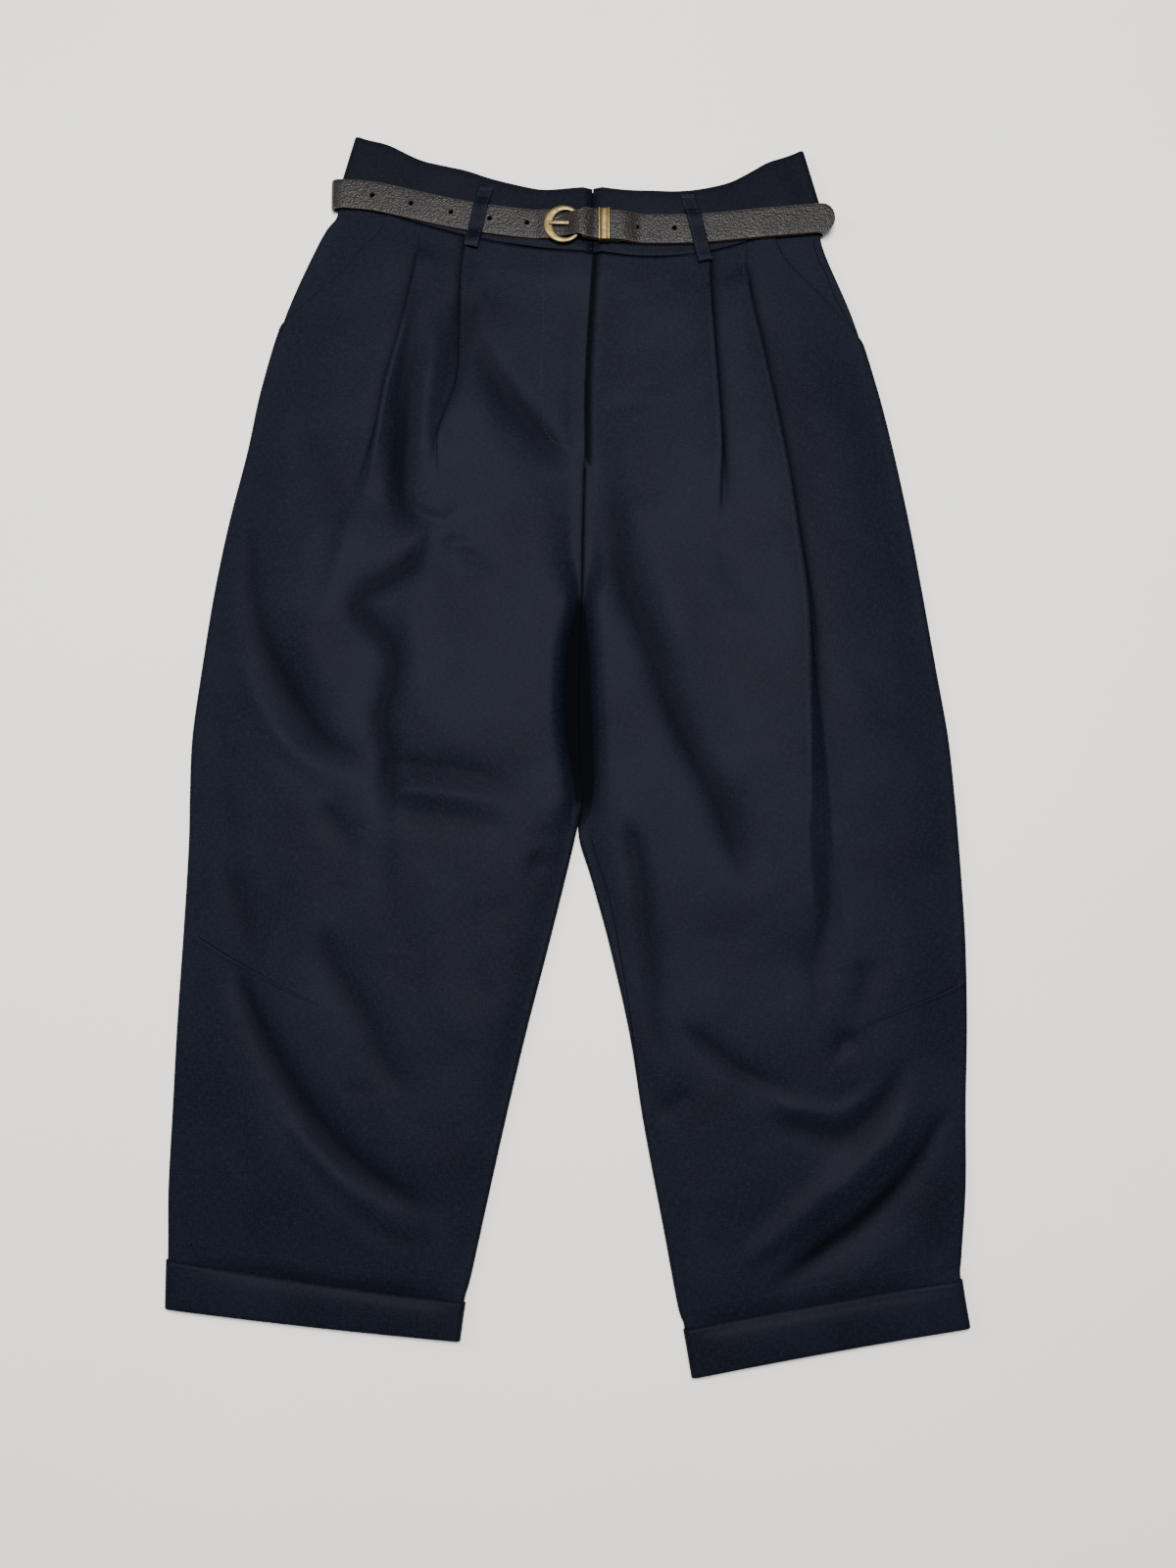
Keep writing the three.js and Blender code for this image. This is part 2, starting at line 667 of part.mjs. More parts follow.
// The turn-up: a flat ring round the end of the leg, folded up from the hem
function cuffSection(leg, row, share, offset, gape) {
  if (share.part === 'top') {
    const lift = offset + gape * Math.sin(Math.PI * share.t);
    return frontPoint(leg, row, row.width * share.t, lift);
  }
  if (share.part === 'bottom') {
    const distance = row.width * (1 - share.t);
    const x = row.start.x + row.across.x * distance;
    const y = row.start.y + row.across.y * distance + sagAt(row, distance);
    return new THREE.Vector3(x, y, row.back - offset);
  }
  const edge = share.part;
  const arc = edge === 'outer' ? rollLength * share.t : rollLength * (1 - share.t);
  return edgePoint(leg, row, edge, arc, offset);
}

function cuffRing() {
  const ring = [];
  const stretch = (part, count) => {
    for (let k = 0; k < count; k += 1) {
      ring.push({ part, t: k / count });
    }
  };
  stretch('top', cuffTopColumns);
  stretch('outer', cuffRollColumns);
  stretch('bottom', cuffTopColumns / 2);
  stretch('inner', cuffRollColumns);
  return ring;
}

function cuff(leg) {
  const last = leg.rows.length - 1;
  const half = cloth / 2;
  const bend = layer;
  // How far above the fold each corner of the folded wall lies, and how far out from the leg
  const profile = [
    [cuffDepth, layer + half, 1],
    [cuffDepth * 0.5, layer + half, 0.5],
    [bend, layer + half, 0],
    [0.1 * bend, layer * 0.75 + half * 0.7, 0],
    [-half, 0, 0],
    [0.1 * bend, -layer * 0.75 - half * 0.7, 0],
    [bend, -layer - half, 0],
    [cuffLip, -layer - half, 0],
    [cuffLip, -layer + half, 0],
    [bend, -layer + half, 0],
    [half, 0, 0],
    [bend, layer - half, 0],
    [cuffDepth * 0.5, layer - half, 0.5],
    [cuffDepth, layer - half, 1],
  ];
  const stationRun = Math.hypot(
    leg.rows[last].outerX - leg.rows[last - 1].outerX,
    leg.rows[last].outerY - leg.rows[last - 1].outerY,
  );
  const sections = cuffRing().map((share) => profile.map(([above, offset, gape]) => {
    const row = rowAt(leg, last - above / stationRun);
    row.level = row.back + 2 * rollRadius;
    return cuffSection(leg, row, share, offset, cuffGape * gape);
  }));
  return sweep(sections, true);
}

// Belt: one strap from its folded-back end, round the waist and out to its tip
function beltY(x) {
  return lookUp(beltLine, x);
}

function beltBackY(x) {
  const share = (x - leftTurn.x) / (rightTurn.x - leftTurn.x);
  return mix(leftTurn.y, rightTurn.y, share) - beltBackDip * 4 * share * (1 - share);
}

function beltPath() {
  const points = [];
  const half = beltThick / 2;
  const first = gap + half;
  const raised = first + keeperWall + gap;
  const wrap = barHalf + wrapRoom + half;
  const barCentre = raised + wrap;
  const front = (x, above) => points.push(new THREE.Vector3(x, beltY(x), bandTop(x) + above));
  front(foldBackEnd, raised);
  front(24, raised);
  front(barX + 3, barCentre - wrap);
  for (const degrees of [-90, -135, 180, 135, 90]) {
    const angle = THREE.MathUtils.degToRad(degrees);
    front(barX + wrap * Math.cos(angle), barCentre + wrap * Math.sin(angle));
  }
  front(barX + 4, barCentre + wrap - 0.6);
  front(18, raised + beltTurn);
  front(40, raised + beltTurn);
  for (const x of [52, 68, 84, 100, 116, 132, 148, 164, 178]) {
    front(x, first);
  }
  const turn = (at, outward, from) => {
    const top = bandTop(at.x) + first;
    const radius = (top - beltBackLevel) / 2;
    for (let k = 0; k <= 6; k += 1) {
      const angle = from * (1 - k / 3);
      points.push(new THREE.Vector3(
        at.x + outward * radius * Math.cos(angle),
        at.y,
        beltBackLevel + radius * (1 + Math.sin(angle)),
      ));
    }
  };
  turn(leftTurn, 1, Math.PI / 2);
  for (let k = 1; k < beltBackSteps; k += 1) {
    const x = mix(leftTurn.x, rightTurn.x, k / beltBackSteps);
    points.push(new THREE.Vector3(x, beltBackY(x), beltBackLevel));
  }
  turn(rightTurn, -1, -Math.PI / 2);
  for (const x of [-160, -144, -128, -112, -96, -80, -64, -48, -32, -24]) {
    front(x, first);
  }
  const over = barCentre + wrap + beltTurn;
  const underRing = barCentre - barHalf - gap - half;
  front(-17, underRing);
  front(-4, underRing + 0.2);
  front(1, mix(underRing, over, 0.3));
  front(5, mix(underRing, over, 0.72));
  front(9.5, over);
  front(14, over - 0.6);
  front(20, raised + 2 * beltTurn + 0.5);
  front(25, raised + 2 * beltTurn);
  front(42, raised + 2 * beltTurn);
  for (const x of [54, 68, 84, 100, 116, 132, 148, 164, 180, 190, 193.5, 196.5, 198.8, beltTip]) {
    front(x, first + beltTurn);
  }
  points.lateral = new THREE.Vector3(0, 1, 0);
  return { points, barCentre, raised };
}

function beltStrap(belt) {
  const count = belt.points.length;
  const tipStart = beltTip - tipLength;
  const widthAt = (i) => {
    if (i > count / 2 && Math.abs(belt.points[i].x - passX) < 14) {
      return mix(passWidth, beltWidth, smooth(Math.abs(belt.points[i].x - passX), 6, 13));
    }
    if (i < wrapPoints) {
      return mix(wrapWidth, beltWidth, smooth(Math.abs(belt.points[i].x - barX), 6, 16));
    }
    const into = i > count - 7 ? clamp((belt.points[i].x - tipStart) / (tipLength + 0.4), 0, 1) : 0;
    return beltWidth * Math.sqrt(1 - into * into);
  };
  return strap(belt.points, beltWidth, beltThick, widthAt);
}

// Buckle frame: a round horseshoe, broad at the left, closed by a bar hidden under the strap
function buckleFrame(belt) {
  const arcTo = (path, halfX, halfY, shift, right) => {
    const start = Math.acos((right - shift) / halfX);
    for (let k = 0; k <= ringSteps; k += 1) {
      const angle = mix(start, 2 * Math.PI - start, k / ringSteps);
      const x = shift + halfX * Math.cos(angle);
      const y = halfY * Math.sin(angle);
      if (k === 0) {
        path.moveTo(x, y);
      } else {
        path.lineTo(x, y);
      }
    }
    path.closePath();
    return path;
  };
  const barRight = barX + barHalf - buckleX;
  const shape = arcTo(new THREE.Shape(), ringOuterX, ringOuterY, 0, barRight);
  shape.holes.push(arcTo(new THREE.Path(), ringInnerX, ringInnerY, ringInnerShift, barRight - 2 * barHalf));
  const geometry = new THREE.ExtrudeGeometry(shape, { depth: 2 * barHalf, bevelEnabled: false });
  geometry.translate(buckleX, beltY(buckleX) - 0.6, bandTop(buckleX) + belt.barCentre - barHalf);
  return geometry;
}

// Prong: lies on the frame's broad side, its other end at the hole in the strap
function buckleProng(belt) {
  const geometry = new THREE.BoxGeometry(prongTo - prongFrom, prongWidth, prongThick);
  const z = bandTop(buckleX) + belt.barCentre + barHalf + gap + prongThick / 2;
  geometry.translate((prongFrom + prongTo) / 2, beltY(0) - 0.3, z);
  return geometry;
}

// Keeper: a thin metal frame round all the layers of the strap
function keeperFrame(belt) {
  const low = gap;
  const high = belt.raised + 2 * beltTurn + beltThick / 2 + gap + keeperWall;
  const box = (path, reach, bottom, top) => {
    path.moveTo(-reach, bottom);
    path.lineTo(reach, bottom);
    path.lineTo(reach, top);
    path.lineTo(-reach, top);
    path.closePath();
    return path;
  };
  const shape = box(new THREE.Shape(), keeperReach, low, high);
  shape.holes.push(box(new THREE.Path(), keeperReach - keeperWall, low + keeperWall, high - keeperWall));
  const geometry = new THREE.ExtrudeGeometry(shape, { depth: keeperLength, bevelEnabled: false });
  const toBelt = new THREE.Matrix4().makeBasis(
    new THREE.Vector3(0, 1, 0),
    new THREE.Vector3(0, 0, 1),
    new THREE.Vector3(1, 0, 0),
  );
  geometry.applyMatrix4(toBelt);
  geometry.translate(keeperX - keeperLength / 2, beltY(keeperX), bandTop(keeperX));
  return geometry;
}

const rightLeg = makeLeg('right', rightStations, rightBandDepth, rightPleats, rightPocket, rightFolds);
const leftLeg = makeLeg('left', leftStations, leftBandDepth, leftPleats, leftPocket, leftFolds);

const trousers = new THREE.Group();

function addPiece(name, geometry, finish) {
  const mesh = new THREE.Mesh(geometry, new THREE.MeshStandardMaterial(finish));
  mesh.name = name;
  trousers.add(mesh);
  return mesh;
}

for (const leg of [rightLeg, leftLeg]) {
  addPiece(`front_${leg.side}`, frontPanel(leg), navy);
  addPiece(`back_${leg.side}`, backPanel(leg), navyInside);
  addPiece(`pocket_bearer_${leg.side}`, pocketBearer(leg), navy);
  addPiece(`waistband_front_${leg.side}`, bandFront(leg), navy);
  addPiece(`cuff_${leg.side}`, cuff(leg), navy);
}
addPiece('waistband_back', bandBack(rightLeg, leftLeg), navyInside);

// Belt loops arch over the belt, those behind lie under it
function frontLoop(loop) {
  const top = new THREE.Vector2(...loop.top);
  const foot = new THREE.Vector2(...loop.foot);
  const slope = (foot.x - top.x) / (foot.y - top.y);
  const middleY = beltY((top.x + foot.x) / 2);
  const low = gap + loopWall / 2;
  const over = gap + loop.straps * beltTurn + loopWall / 2;
  const footLevel = low + loopFootRise;
  const stops = [
    [top.y, low],
    [middleY + beltWidth / 2 + loopRamp, low],
    [middleY + beltWidth / 2 + loopEase, over],
    [middleY - beltWidth / 2 - loopEase, over],
    [middleY - beltWidth / 2 - loopRamp, footLevel],
    [foot.y, footLevel],
  ];
  const path = stops.map(([y, above]) => {
    const x = top.x + (y - top.y) * slope;
    return new THREE.Vector3(x, y, bandTop(x) + above);
  });
  path.lateral = new THREE.Vector3(1, 0, 0);
  return strap(path, loopWidth, loopWall);
}

function backLoop(place) {
  const middleY = beltBackY(place.x);
  const high = bandBackLevel - bandWall / 2 - gap - loopWall / 2;
  const stops = [
    [backLoopReach, high],
    [beltWidth / 2 + loopRamp, high],
    [beltWidth / 2 + loopEase, loopWall / 2],
    [-beltWidth / 2 - loopEase, loopWall / 2],
    [-beltWidth / 2 - loopRamp, high],
    [-backLoopReach, high],
  ];
  const path = stops.map(([offset, z]) => new THREE.Vector3(place.x, middleY + offset, z));
  path.lateral = new THREE.Vector3(1, 0, 0);
  return strap(path, loopWidth, loopWall);
}

for (const loop of frontLoops) {
  addPiece(loop.name, frontLoop(loop), navy);
}
for (const place of backLoopPlaces) {
  addPiece(place.name, backLoop(place), navy);
}

const belt = beltPath();
addPiece('belt_strap', beltStrap(belt), brown);
addPiece('buckle_frame', buckleFrame(belt), brass);
addPiece('buckle_prong', buckleProng(belt), brass);
addPiece('belt_keeper', keeperFrame(belt), brass);

// The origin is under the middle of the whole outline
const outline = new THREE.Box3().setFromObject(trousers);
trousers.position.set(-(outline.min.x + outline.max.x) / 2, -(outline.min.y + outline.max.y) / 2, 0);

export default trousers;
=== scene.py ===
import bpy
import bmesh
import math
import numpy as np
from types import SimpleNamespace
from mathutils import Matrix, Vector
from mathutils.bvhtree import BVHTree


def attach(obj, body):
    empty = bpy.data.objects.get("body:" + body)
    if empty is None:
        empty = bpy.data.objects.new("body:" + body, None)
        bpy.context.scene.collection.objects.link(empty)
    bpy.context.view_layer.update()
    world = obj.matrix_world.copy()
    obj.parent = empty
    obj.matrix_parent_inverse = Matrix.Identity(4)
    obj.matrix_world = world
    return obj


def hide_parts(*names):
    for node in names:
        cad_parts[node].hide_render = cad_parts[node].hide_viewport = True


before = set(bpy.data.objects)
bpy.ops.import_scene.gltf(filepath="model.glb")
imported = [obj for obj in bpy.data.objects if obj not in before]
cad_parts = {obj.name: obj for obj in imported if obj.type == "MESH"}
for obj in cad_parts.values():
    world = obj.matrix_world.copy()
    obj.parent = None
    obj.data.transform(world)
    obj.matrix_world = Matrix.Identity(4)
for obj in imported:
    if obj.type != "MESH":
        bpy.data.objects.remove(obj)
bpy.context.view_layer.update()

# Lengths are millimetres on the layout's own axes until toMetres moves them.
# Left and right are the wearer's, so the right leg lies on the viewer's left.
layoutShift = (2.0, -0.3, 0.0)
body = "root"
chance = np.random.default_rng(7)


def toMetres(points):
    return (np.asarray(points, float) - layoutShift) * 0.001


def smoothStep(value, low, high):
    t = np.clip((value - low) / (high - low), 0, 1)
    return t * t * (3 - 2 * t)


def blend(a, b, share):
    return a + (b - a) * share


def curve(a, b, slopeA, slopeB, t):
    return (a * (2 * t**3 - 3 * t**2 + 1) + slopeA * (t**3 - 2 * t**2 + t)
            + b * (3 * t**2 - 2 * t**3) + slopeB * (t**3 - t**2))


# A smooth line through uneven points, with each new point's place among the old ones
def smoothPath(points, step):
    points = np.asarray(points, float)
    run = np.linalg.norm(np.diff(points, axis=0), axis=1)
    rates = np.diff(points, axis=0) / run[:, None]
    between = (rates[:-1] * run[1:, None] + rates[1:] * run[:-1, None]) / (run[:-1] + run[1:])[:, None]
    slopes = np.concatenate([rates[:1], between, rates[-1:]])
    made, places = [], []
    for i, length in enumerate(run):
        cells = max(1, round(length / step))
        for t in np.arange(cells) / cells:
            made.append(curve(points[i], points[i + 1], slopes[i] * length, slopes[i + 1] * length, t))
            places.append(i + t)
    return np.array(made + [points[-1]]), np.array(places + [len(points) - 1])


def smoothRows(table, places):
    places = np.asarray(places, float)
    i = np.clip(np.floor(places).astype(int), 0, len(table) - 2)
    t = (places - i)[:, None]

    def at(k):
        return table[np.clip(k, 0, len(table) - 1)]

    slopeA = (at(i + 1) - at(i - 1)) / 2
    slopeB = (at(i + 2) - at(i)) / 2
    return curve(at(i), at(i + 1), slopeA, slopeB, t)


# A short table of [place, value] read smoothly
def lookUp(table, place, soft=0.0):
    table = np.asarray(table, float)
    table = table[np.argsort(table[:, 0])]
    if not soft:
        return np.interp(place, table[:, 0], table[:, 1])
    total = 0
    for offset in (-1.5, -1, -0.5, 0, 0.5, 1, 1.5):
        total = total + np.interp(np.asarray(place) + offset * soft, table[:, 0], table[:, 1])
    return total / 7


# Soft unevenness, the same each time for the same seed
def makeWobble(seed, longest, shortest, count=26):
    dice = np.random.default_rng(seed)
    turns = dice.uniform(0, math.pi, count)
    waves = np.exp(dice.uniform(math.log(shortest), math.log(longest), count))
    phases = dice.uniform(0, 2 * math.pi, count)
    heights = (waves / longest) ** 0.8

    def wobble(x, y):
        total = 0
        for turn, wave, phase, height in zip(turns, waves, phases, heights):
            run = x * math.cos(turn) + y * math.sin(turn)
            total = total + height * np.sin(run * 2 * math.pi / wave + phase)
        return total / math.sqrt((heights**2).sum())

    return wobble


clothWobble = makeWobble(11, 150, 38)
clothRipple = makeWobble(23, 34, 13)
bandWobble = makeWobble(31, 120, 26)


# Wraps a socket, so that sums of values can be written out
class Value:
    def __init__(self, finish, socket):
        self.finish = finish
        self.socket = socket

    def maths(self, operation, *others):
        return self.finish.node("ShaderNodeMath", {"operation": operation}, dict(enumerate((self, *others))))

    def turned(self, operation, other):
        return self.finish.node("ShaderNodeMath", {"operation": operation}, {0: other, 1: self})

    def __add__(self, other):
        return self.maths("ADD", other)

    def __sub__(self, other):
        return self.maths("SUBTRACT", other)

    def __mul__(self, other):
        return self.maths("MULTIPLY", other)

    def __rsub__(self, other):
        return self.turned("SUBTRACT", other)

    __radd__ = __add__
    __rmul__ = __mul__


class Finish:
    def __init__(self, name):
        self.material = bpy.data.materials.new(name)
        self.material.use_nodes = True
        self.tree = self.material.node_tree
        self.shader = self.tree.nodes["Principled BSDF"]

    def node(self, kind, settings=None, inputs=None, output=0):
        made = self.tree.nodes.new(kind)
        for key, value in (settings or {}).items():
            if key == "stops":
                while len(made.color_ramp.elements) < len(value):
                    made.color_ramp.elements.new(0.5)
                for element, (position, level) in zip(made.color_ramp.elements, value):
                    element.position = position
                    element.color = (level, level, level, 1)
            else:
                setattr(made, key, value)
        for key, value in (inputs or {}).items():
            self.join(made.inputs[key], value)
        return Value(self, made.outputs[output])

    def join(self, socket, value):
        if isinstance(value, Value):
            self.tree.links.new(value.socket, socket)
        else:
            socket.default_value = value

    # Where a point lies: in the object's own axes, or on its UV map
    def place(self, axes="Object"):
        return self.node("ShaderNodeTexCoord", {}, {}, axes)

    def mark(self, name):
        return self.node("ShaderNodeAttribute", {"attribute_name": name}, {}, "Fac")

    def noise(self, where, scale, detail=2.0, rough=0.5):
        inputs = {"Vector": where, "Scale": scale, "Detail": detail, "Roughness": rough}
        return self.node("ShaderNodeTexNoise", {}, inputs)

    def ramp(self, value, *stops):
        return self.node("ShaderNodeValToRGB", {"stops": stops}, {0: value})

    def mixColor(self, share, a, b):
        return self.node("ShaderNodeMix", {"data_type": "RGBA"}, {0: share, 6: a, 7: b}, 2)

    def stretch(self, where, scale):
        return self.node("ShaderNodeVectorMath", {"operation": "MULTIPLY"}, {0: where, 1: scale})

    def shade(self, **values):
        for key, value in values.items():
            self.join(self.shader.inputs[key.replace("_", " ")], value)

    def bump(self, height, strength, distance):
        inputs = {"Height": height, "Strength": strength, "Distance": distance}
        self.shade(Normal=self.node("ShaderNodeBump", {}, inputs))


suiting = {
    "deep": (0.0021, 0.0026, 0.0053, 1),
    "lit": (0.0051, 0.0062, 0.0110, 1),
    "fleck": (0.0086, 0.0104, 0.0172, 1),
    # near-black colour of the painted shade
    "hollow": (0.0006, 0.0007, 0.0012, 1),
    "yarn": 0.0012,      # width of one yarn float, metres
    "roughness": 0.53,
}


# tone scales every colour of the cloth; below 1 it makes a darker copy, which is painted shade
def makeSuiting(name, tone=1.0):
    finish = Finish(name)
    uv = finish.place("UV")
    place = finish.place()
    yarns = 1 / suiting["yarn"]
    warp = finish.noise(finish.stretch(uv, (yarns, yarns * 0.28, 1)), 1.0, 2.0, 0.6)
    weft = finish.noise(finish.stretch(uv, (yarns * 0.30, yarns, 1)), 1.0, 2.0, 0.6)
    twill = finish.noise(finish.stretch(uv, (yarns * 0.5, yarns * 0.5, 1)), 1.0, 1.0)
    weave = warp * 0.45 + weft * 0.4 + twill * 0.15
    broad = finish.noise(place, 14.0, 3.0, 0.55)
    cloudy = finish.ramp(broad * 0.6 + weave * 0.55 - 0.08, (0.30, 0.0), (0.72, 1.0))
    fleck = finish.ramp(warp * weft * 2.0, (0.40, 0.0), (0.86, 1.0)) * 0.5
    toned = {key: [tone * part for part in suiting[key][:3]] + [1] for key in ("deep", "lit", "fleck")}
    # Painted shade: this mark darkens the cloth towards the near-black colour in troughs, slits, corners and
    # beside seams
    hollow = finish.mark("hollow")
    color = finish.mixColor(fleck, finish.mixColor(cloudy, toned["deep"], toned["lit"]), toned["fleck"])
    finish.shade(
        Base_Color=finish.mixColor(hollow * 0.92, color, suiting["hollow"]),
        Roughness=weave * 0.12 + hollow * 0.35 + (suiting["roughness"] - 0.06),
        Specular_IOR_Level=0.038,
        Specular_Tint=(0.86, 0.88, 1.0, 1),
    )
    finish.bump(weave, 0.40, 0.0005)
    return finish.material


thread = {"color": (0.022, 0.027, 0.041, 1), "roughness": 0.7}


def makeThread():
    finish = Finish("navy_thread")
    grain = finish.noise(finish.place(), 1400.0, 1.0)
    finish.shade(
        Base_Color=finish.mixColor(grain, (0.011, 0.014, 0.022, 1), thread["color"]),
        Roughness=thread["roughness"],
        Specular_IOR_Level=0.08,
    )
    return finish.material


leather = {
    "deep": (0.0040, 0.0029, 0.0028, 1),
    "face": (0.0140, 0.0106, 0.0104, 1),
    "edge": (0.045, 0.034, 0.031, 1),
    "pebble": 760.0,     # pebbles in a metre
}


# The strap's own UV map runs along it and round its section
def makeLeather(name, edges=True):
    finish = Finish(name)
    place = finish.place()
    pebble = finish.node("ShaderNodeTexVoronoi", {"feature": "SMOOTH_F1"},
                         {"Vector": place, "Scale": leather["pebble"], "Smoothness": 0.6})
    wrinkle = finish.noise(place, 420.0, 4.0, 0.6)
    cloud = finish.noise(place, 55.0, 3.0)
    relief = (1 - pebble * 0.9) * 0.6 + wrinkle * 0.5
    tone = finish.ramp(relief * 0.7 + cloud * 0.45, (0.38, 0.0), (0.86, 1.0))
    color = finish.mixColor(tone, leather["deep"], leather["face"])
    if edges:
        worn = finish.mark("rim")
        rubbed = finish.ramp(worn + wrinkle * 0.25 - 0.12, (0.45, 0.0), (0.85, 1.0))
        color = finish.mixColor(rubbed, color, leather["edge"])
    finish.shade(Base_Color=color, Roughness=0.52 - tone * 0.18, Specular_IOR_Level=0.20)
    finish.bump(relief, 0.8, 0.0009)
    return finish.material


brass = {
    "polished": (0.29, 0.218, 0.088, 1),
    "dull": (0.080, 0.059, 0.026, 1),
}


def makeBrass(name):
    finish = Finish(name)
    place = finish.place()
    tarnish = finish.noise(place, 160.0, 4.0, 0.65)
    scratch = finish.noise(finish.stretch(place, (300.0, 1500.0, 300.0)), 1.0, 2.0)
    geometry = finish.node("ShaderNodeNewGeometry", {}, {}, "Pointiness")
    worn = finish.ramp(geometry * 0.9 + tarnish * 0.35 - 0.06, (0.50, 0.0), (0.66, 1.0))
    finish.shade(
        Base_Color=finish.mixColor(worn * 0.7 + tarnish * 0.3, brass["dull"], brass["polished"]),
        Metallic=1.0,
        Roughness=0.52 - worn * 0.16 + scratch * 0.10,
    )
    finish.bump(scratch * 0.4 + tarnish, 0.16, 0.0003)
    return finish.material


navy = makeSuiting("navy_suiting_cloth")
# Darker copies of the same cloth, as painted shade: the pieces underneath, the waistband and loops, and the
# turn-ups
navyShadedUnder = makeSuiting("navy_suiting_shaded_under", 0.85)
navyShadedBand = makeSuiting("navy_suiting_shaded_band", 0.70)
navyShadedTurnUp = makeSuiting("navy_suiting_shaded_turnup", 0.92)
navyThread = makeThread()
brown = makeLeather("brown_pebbled_leather")
brownDark = makeLeather("brown_leather_hole", False)
antique = makeBrass("antique_brass_worn")
print("materials made")


def finishPiece(obj, nodes, material):
    obj.data.materials.append(material)
    for polygon in obj.data.polygons:
        polygon.use_smooth = True
    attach(obj, body)
    if nodes:
        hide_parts(*nodes)
    return obj


def addObject(name, data):
    obj = bpy.data.objects.new(name, data)
    bpy.context.scene.collection.objects.link(obj)
    return obj


def newObject(name, bm):
    mesh = bpy.data.meshes.new(name)
    bm.to_mesh(mesh)
    bm.free()
    return addObject(name, mesh)


def lengthAlong(points, axis):
    steps = np.linalg.norm(np.diff(points, axis=axis), axis=2)
    total = np.zeros(points.shape[:2])
    total[(slice(None), slice(1, None)) if axis else slice(1, None)] = np.cumsum(steps, axis=axis)
    return total


# A grid of cloth moved onto rows of points, its UV map in metres of cloth
def gridPiece(name, points, closed=False, capped=False, outward=False, marks=None):
    rows, columns = points.shape[:2]
    # A fourth value at each point is painted shade, kept as a mark on the mesh
    if points.shape[2] == 4:
        marks = {"hollow": points[..., 3]}
    bm = bmesh.new()
    bm.loops.layers.uv.new("cut")
    marked = [(bm.verts.layers.float.new(key), values) for key, values in (marks or {}).items()]
    bmesh.ops.create_grid(bm, x_segments=columns - 1, y_segments=rows - 1, size=1.0, calc_uvs=True)
    places = toMetres(points[..., :3])
    across, along = lengthAlong(places, 1), lengthAlong(places, 0)
    order = {}
    for vert in bm.verts:
        column = round((vert.co.x + 1) / 2 * (columns - 1))
        row = round((vert.co.y + 1) / 2 * (rows - 1))
        order[vert.index] = (row, column)
        vert.co = places[row, column]
        for mark, values in marked:
            vert[mark] = float(values[row, column])
    layer = bm.loops.layers.uv.active
    for face in bm.faces:
        for loop in face.loops:
            row, column = order[loop.vert.index]
            loop[layer].uv = (across[row, column], along[row, column])
    if closed:
        bmesh.ops.remove_doubles(bm, verts=bm.verts[:], dist=1e-6)
    if capped:
        bmesh.ops.holes_fill(bm, edges=[edge for edge in bm.edges if edge.is_boundary], sides=0)
    if capped or outward:
        bmesh.ops.recalc_face_normals(bm, faces=bm.faces[:])
    return newObject(name, bm)


def addWall(obj, thickness):
    wall = obj.modifiers.new("wall", "SOLIDIFY")
    wall.thickness = thickness
    wall.offset = 0.0


cloth = {
    "wall": 0.9,
    "backWall": 1.0,
    "layer": 1.3,
    "roll": 2.4,
    "innerShoulder": 15,
    "cleftShoulder": 4.5,
    "outerShoulder": 32,
    "undulation": 0.40,
    "ripple": 0.06,
    "foldGain": 1.1,
    "shadow": 0.75,
    "cell": 2.55,
}
rollLength = math.pi * cloth["roll"]

# Stations down a leg, the same for both: the crown over the front, the rise at its inner end,
# how far the inner edge is rolled (1 is all the way) and the level of the back
stationForms = [
    [0.6, 0.0, 0, 4.9], [1.2, 0.3, 0, 4.9], [2.5, 0.6, 0, 4.4], [4.0, 1.2, 0, 0.5], [6.0, 2.0, 0, 0.5],
    [7.5, 2.0, 0, 0.5], [8.5, 2.0, 0, 0.5], [8.5, -1.0, 0, 0.5], [8.0, -3.2, 0, 0.5], [7.5, -3.2, 0, 0.5],
    [7.0, -2.6, 0.05, 0.5], [6.5, 0, 0.9, 0.5], [6.0, 0, 1, 0.5], [5.5, 0, 1, 0.5], [5.0, 0, 1, 0.5],
    [4.5, 0, 1, 0.5], [3.5, 0, 1, 0.5], [1.5, 0, 1, 0.5], [0.6, 0, 1, 1.8], [0, 0, 1, 1.8],
]
# Each leg's own: where a station begins and ends, and how far it sags between
rightEdges = [
    [19, 365, -172, 411, -9], [18, 350, -174.5, 395, -8.5], [17, 335, -186, 379, -8],
    [15, 305, -211.5, 322, -4], [13, 262, -228, 266, 0], [13, 214, -238, 216, 0],
    [12, 160, -251, 161, 0], [11, 108, -261, 108, 0], [9, 50, -269, 52, 0], [9, 0, -275, 2, 0],
    [11, -44, -276, -42, 0], [6, -70, -276, -70, 0], [-2, -104, -277, -102, 0],
    [-14, -152, -279, -146, 0], [-30, -214, -282, -206, 0], [-45, -278, -284, -264, 0],
    [-60, -346, -286, -322, 0], [-69, -387, -285.5, -357, -1], [-73.5, -403, -285.2, -373, -1],
    [-77.5, -431, -285.2, -408.5, -1],
]
leftEdges = [
    [19, 365, 190, 400, -16], [18, 350, 190.5, 384, -14], [17, 335, 195, 366, -12],
    [15, 305, 215, 318, -5], [13, 262, 231, 266, 0], [13, 214, 243, 216, 0],
    [12, 160, 254, 161, 0], [11, 108, 263, 108, 0], [9, 50, 272, 52, 0], [9, 0, 280, 2, 0],
    [11, -44, 284, -42, 0], [9, -70, 286, -70, 0], [19, -104, 288, -104, 0],
    [32, -152, 290, -150, 0], [46, -214, 290, -208, 0], [56, -278, 288, -266, 0],
    [70, -352, 287, -322, 0], [80, -406, 283, -371, 1], [85, -422, 282, -387.5, 1],
    [91, -456.5, 287, -422, 1],
]
stationNames = ["innerX", "innerY", "outerX", "outerY", "sag", "crown", "innerRise", "innerRoll", "back"]
evenNames = ["innerRoll", "back"]      # read evenly from station to station, the others smoothly
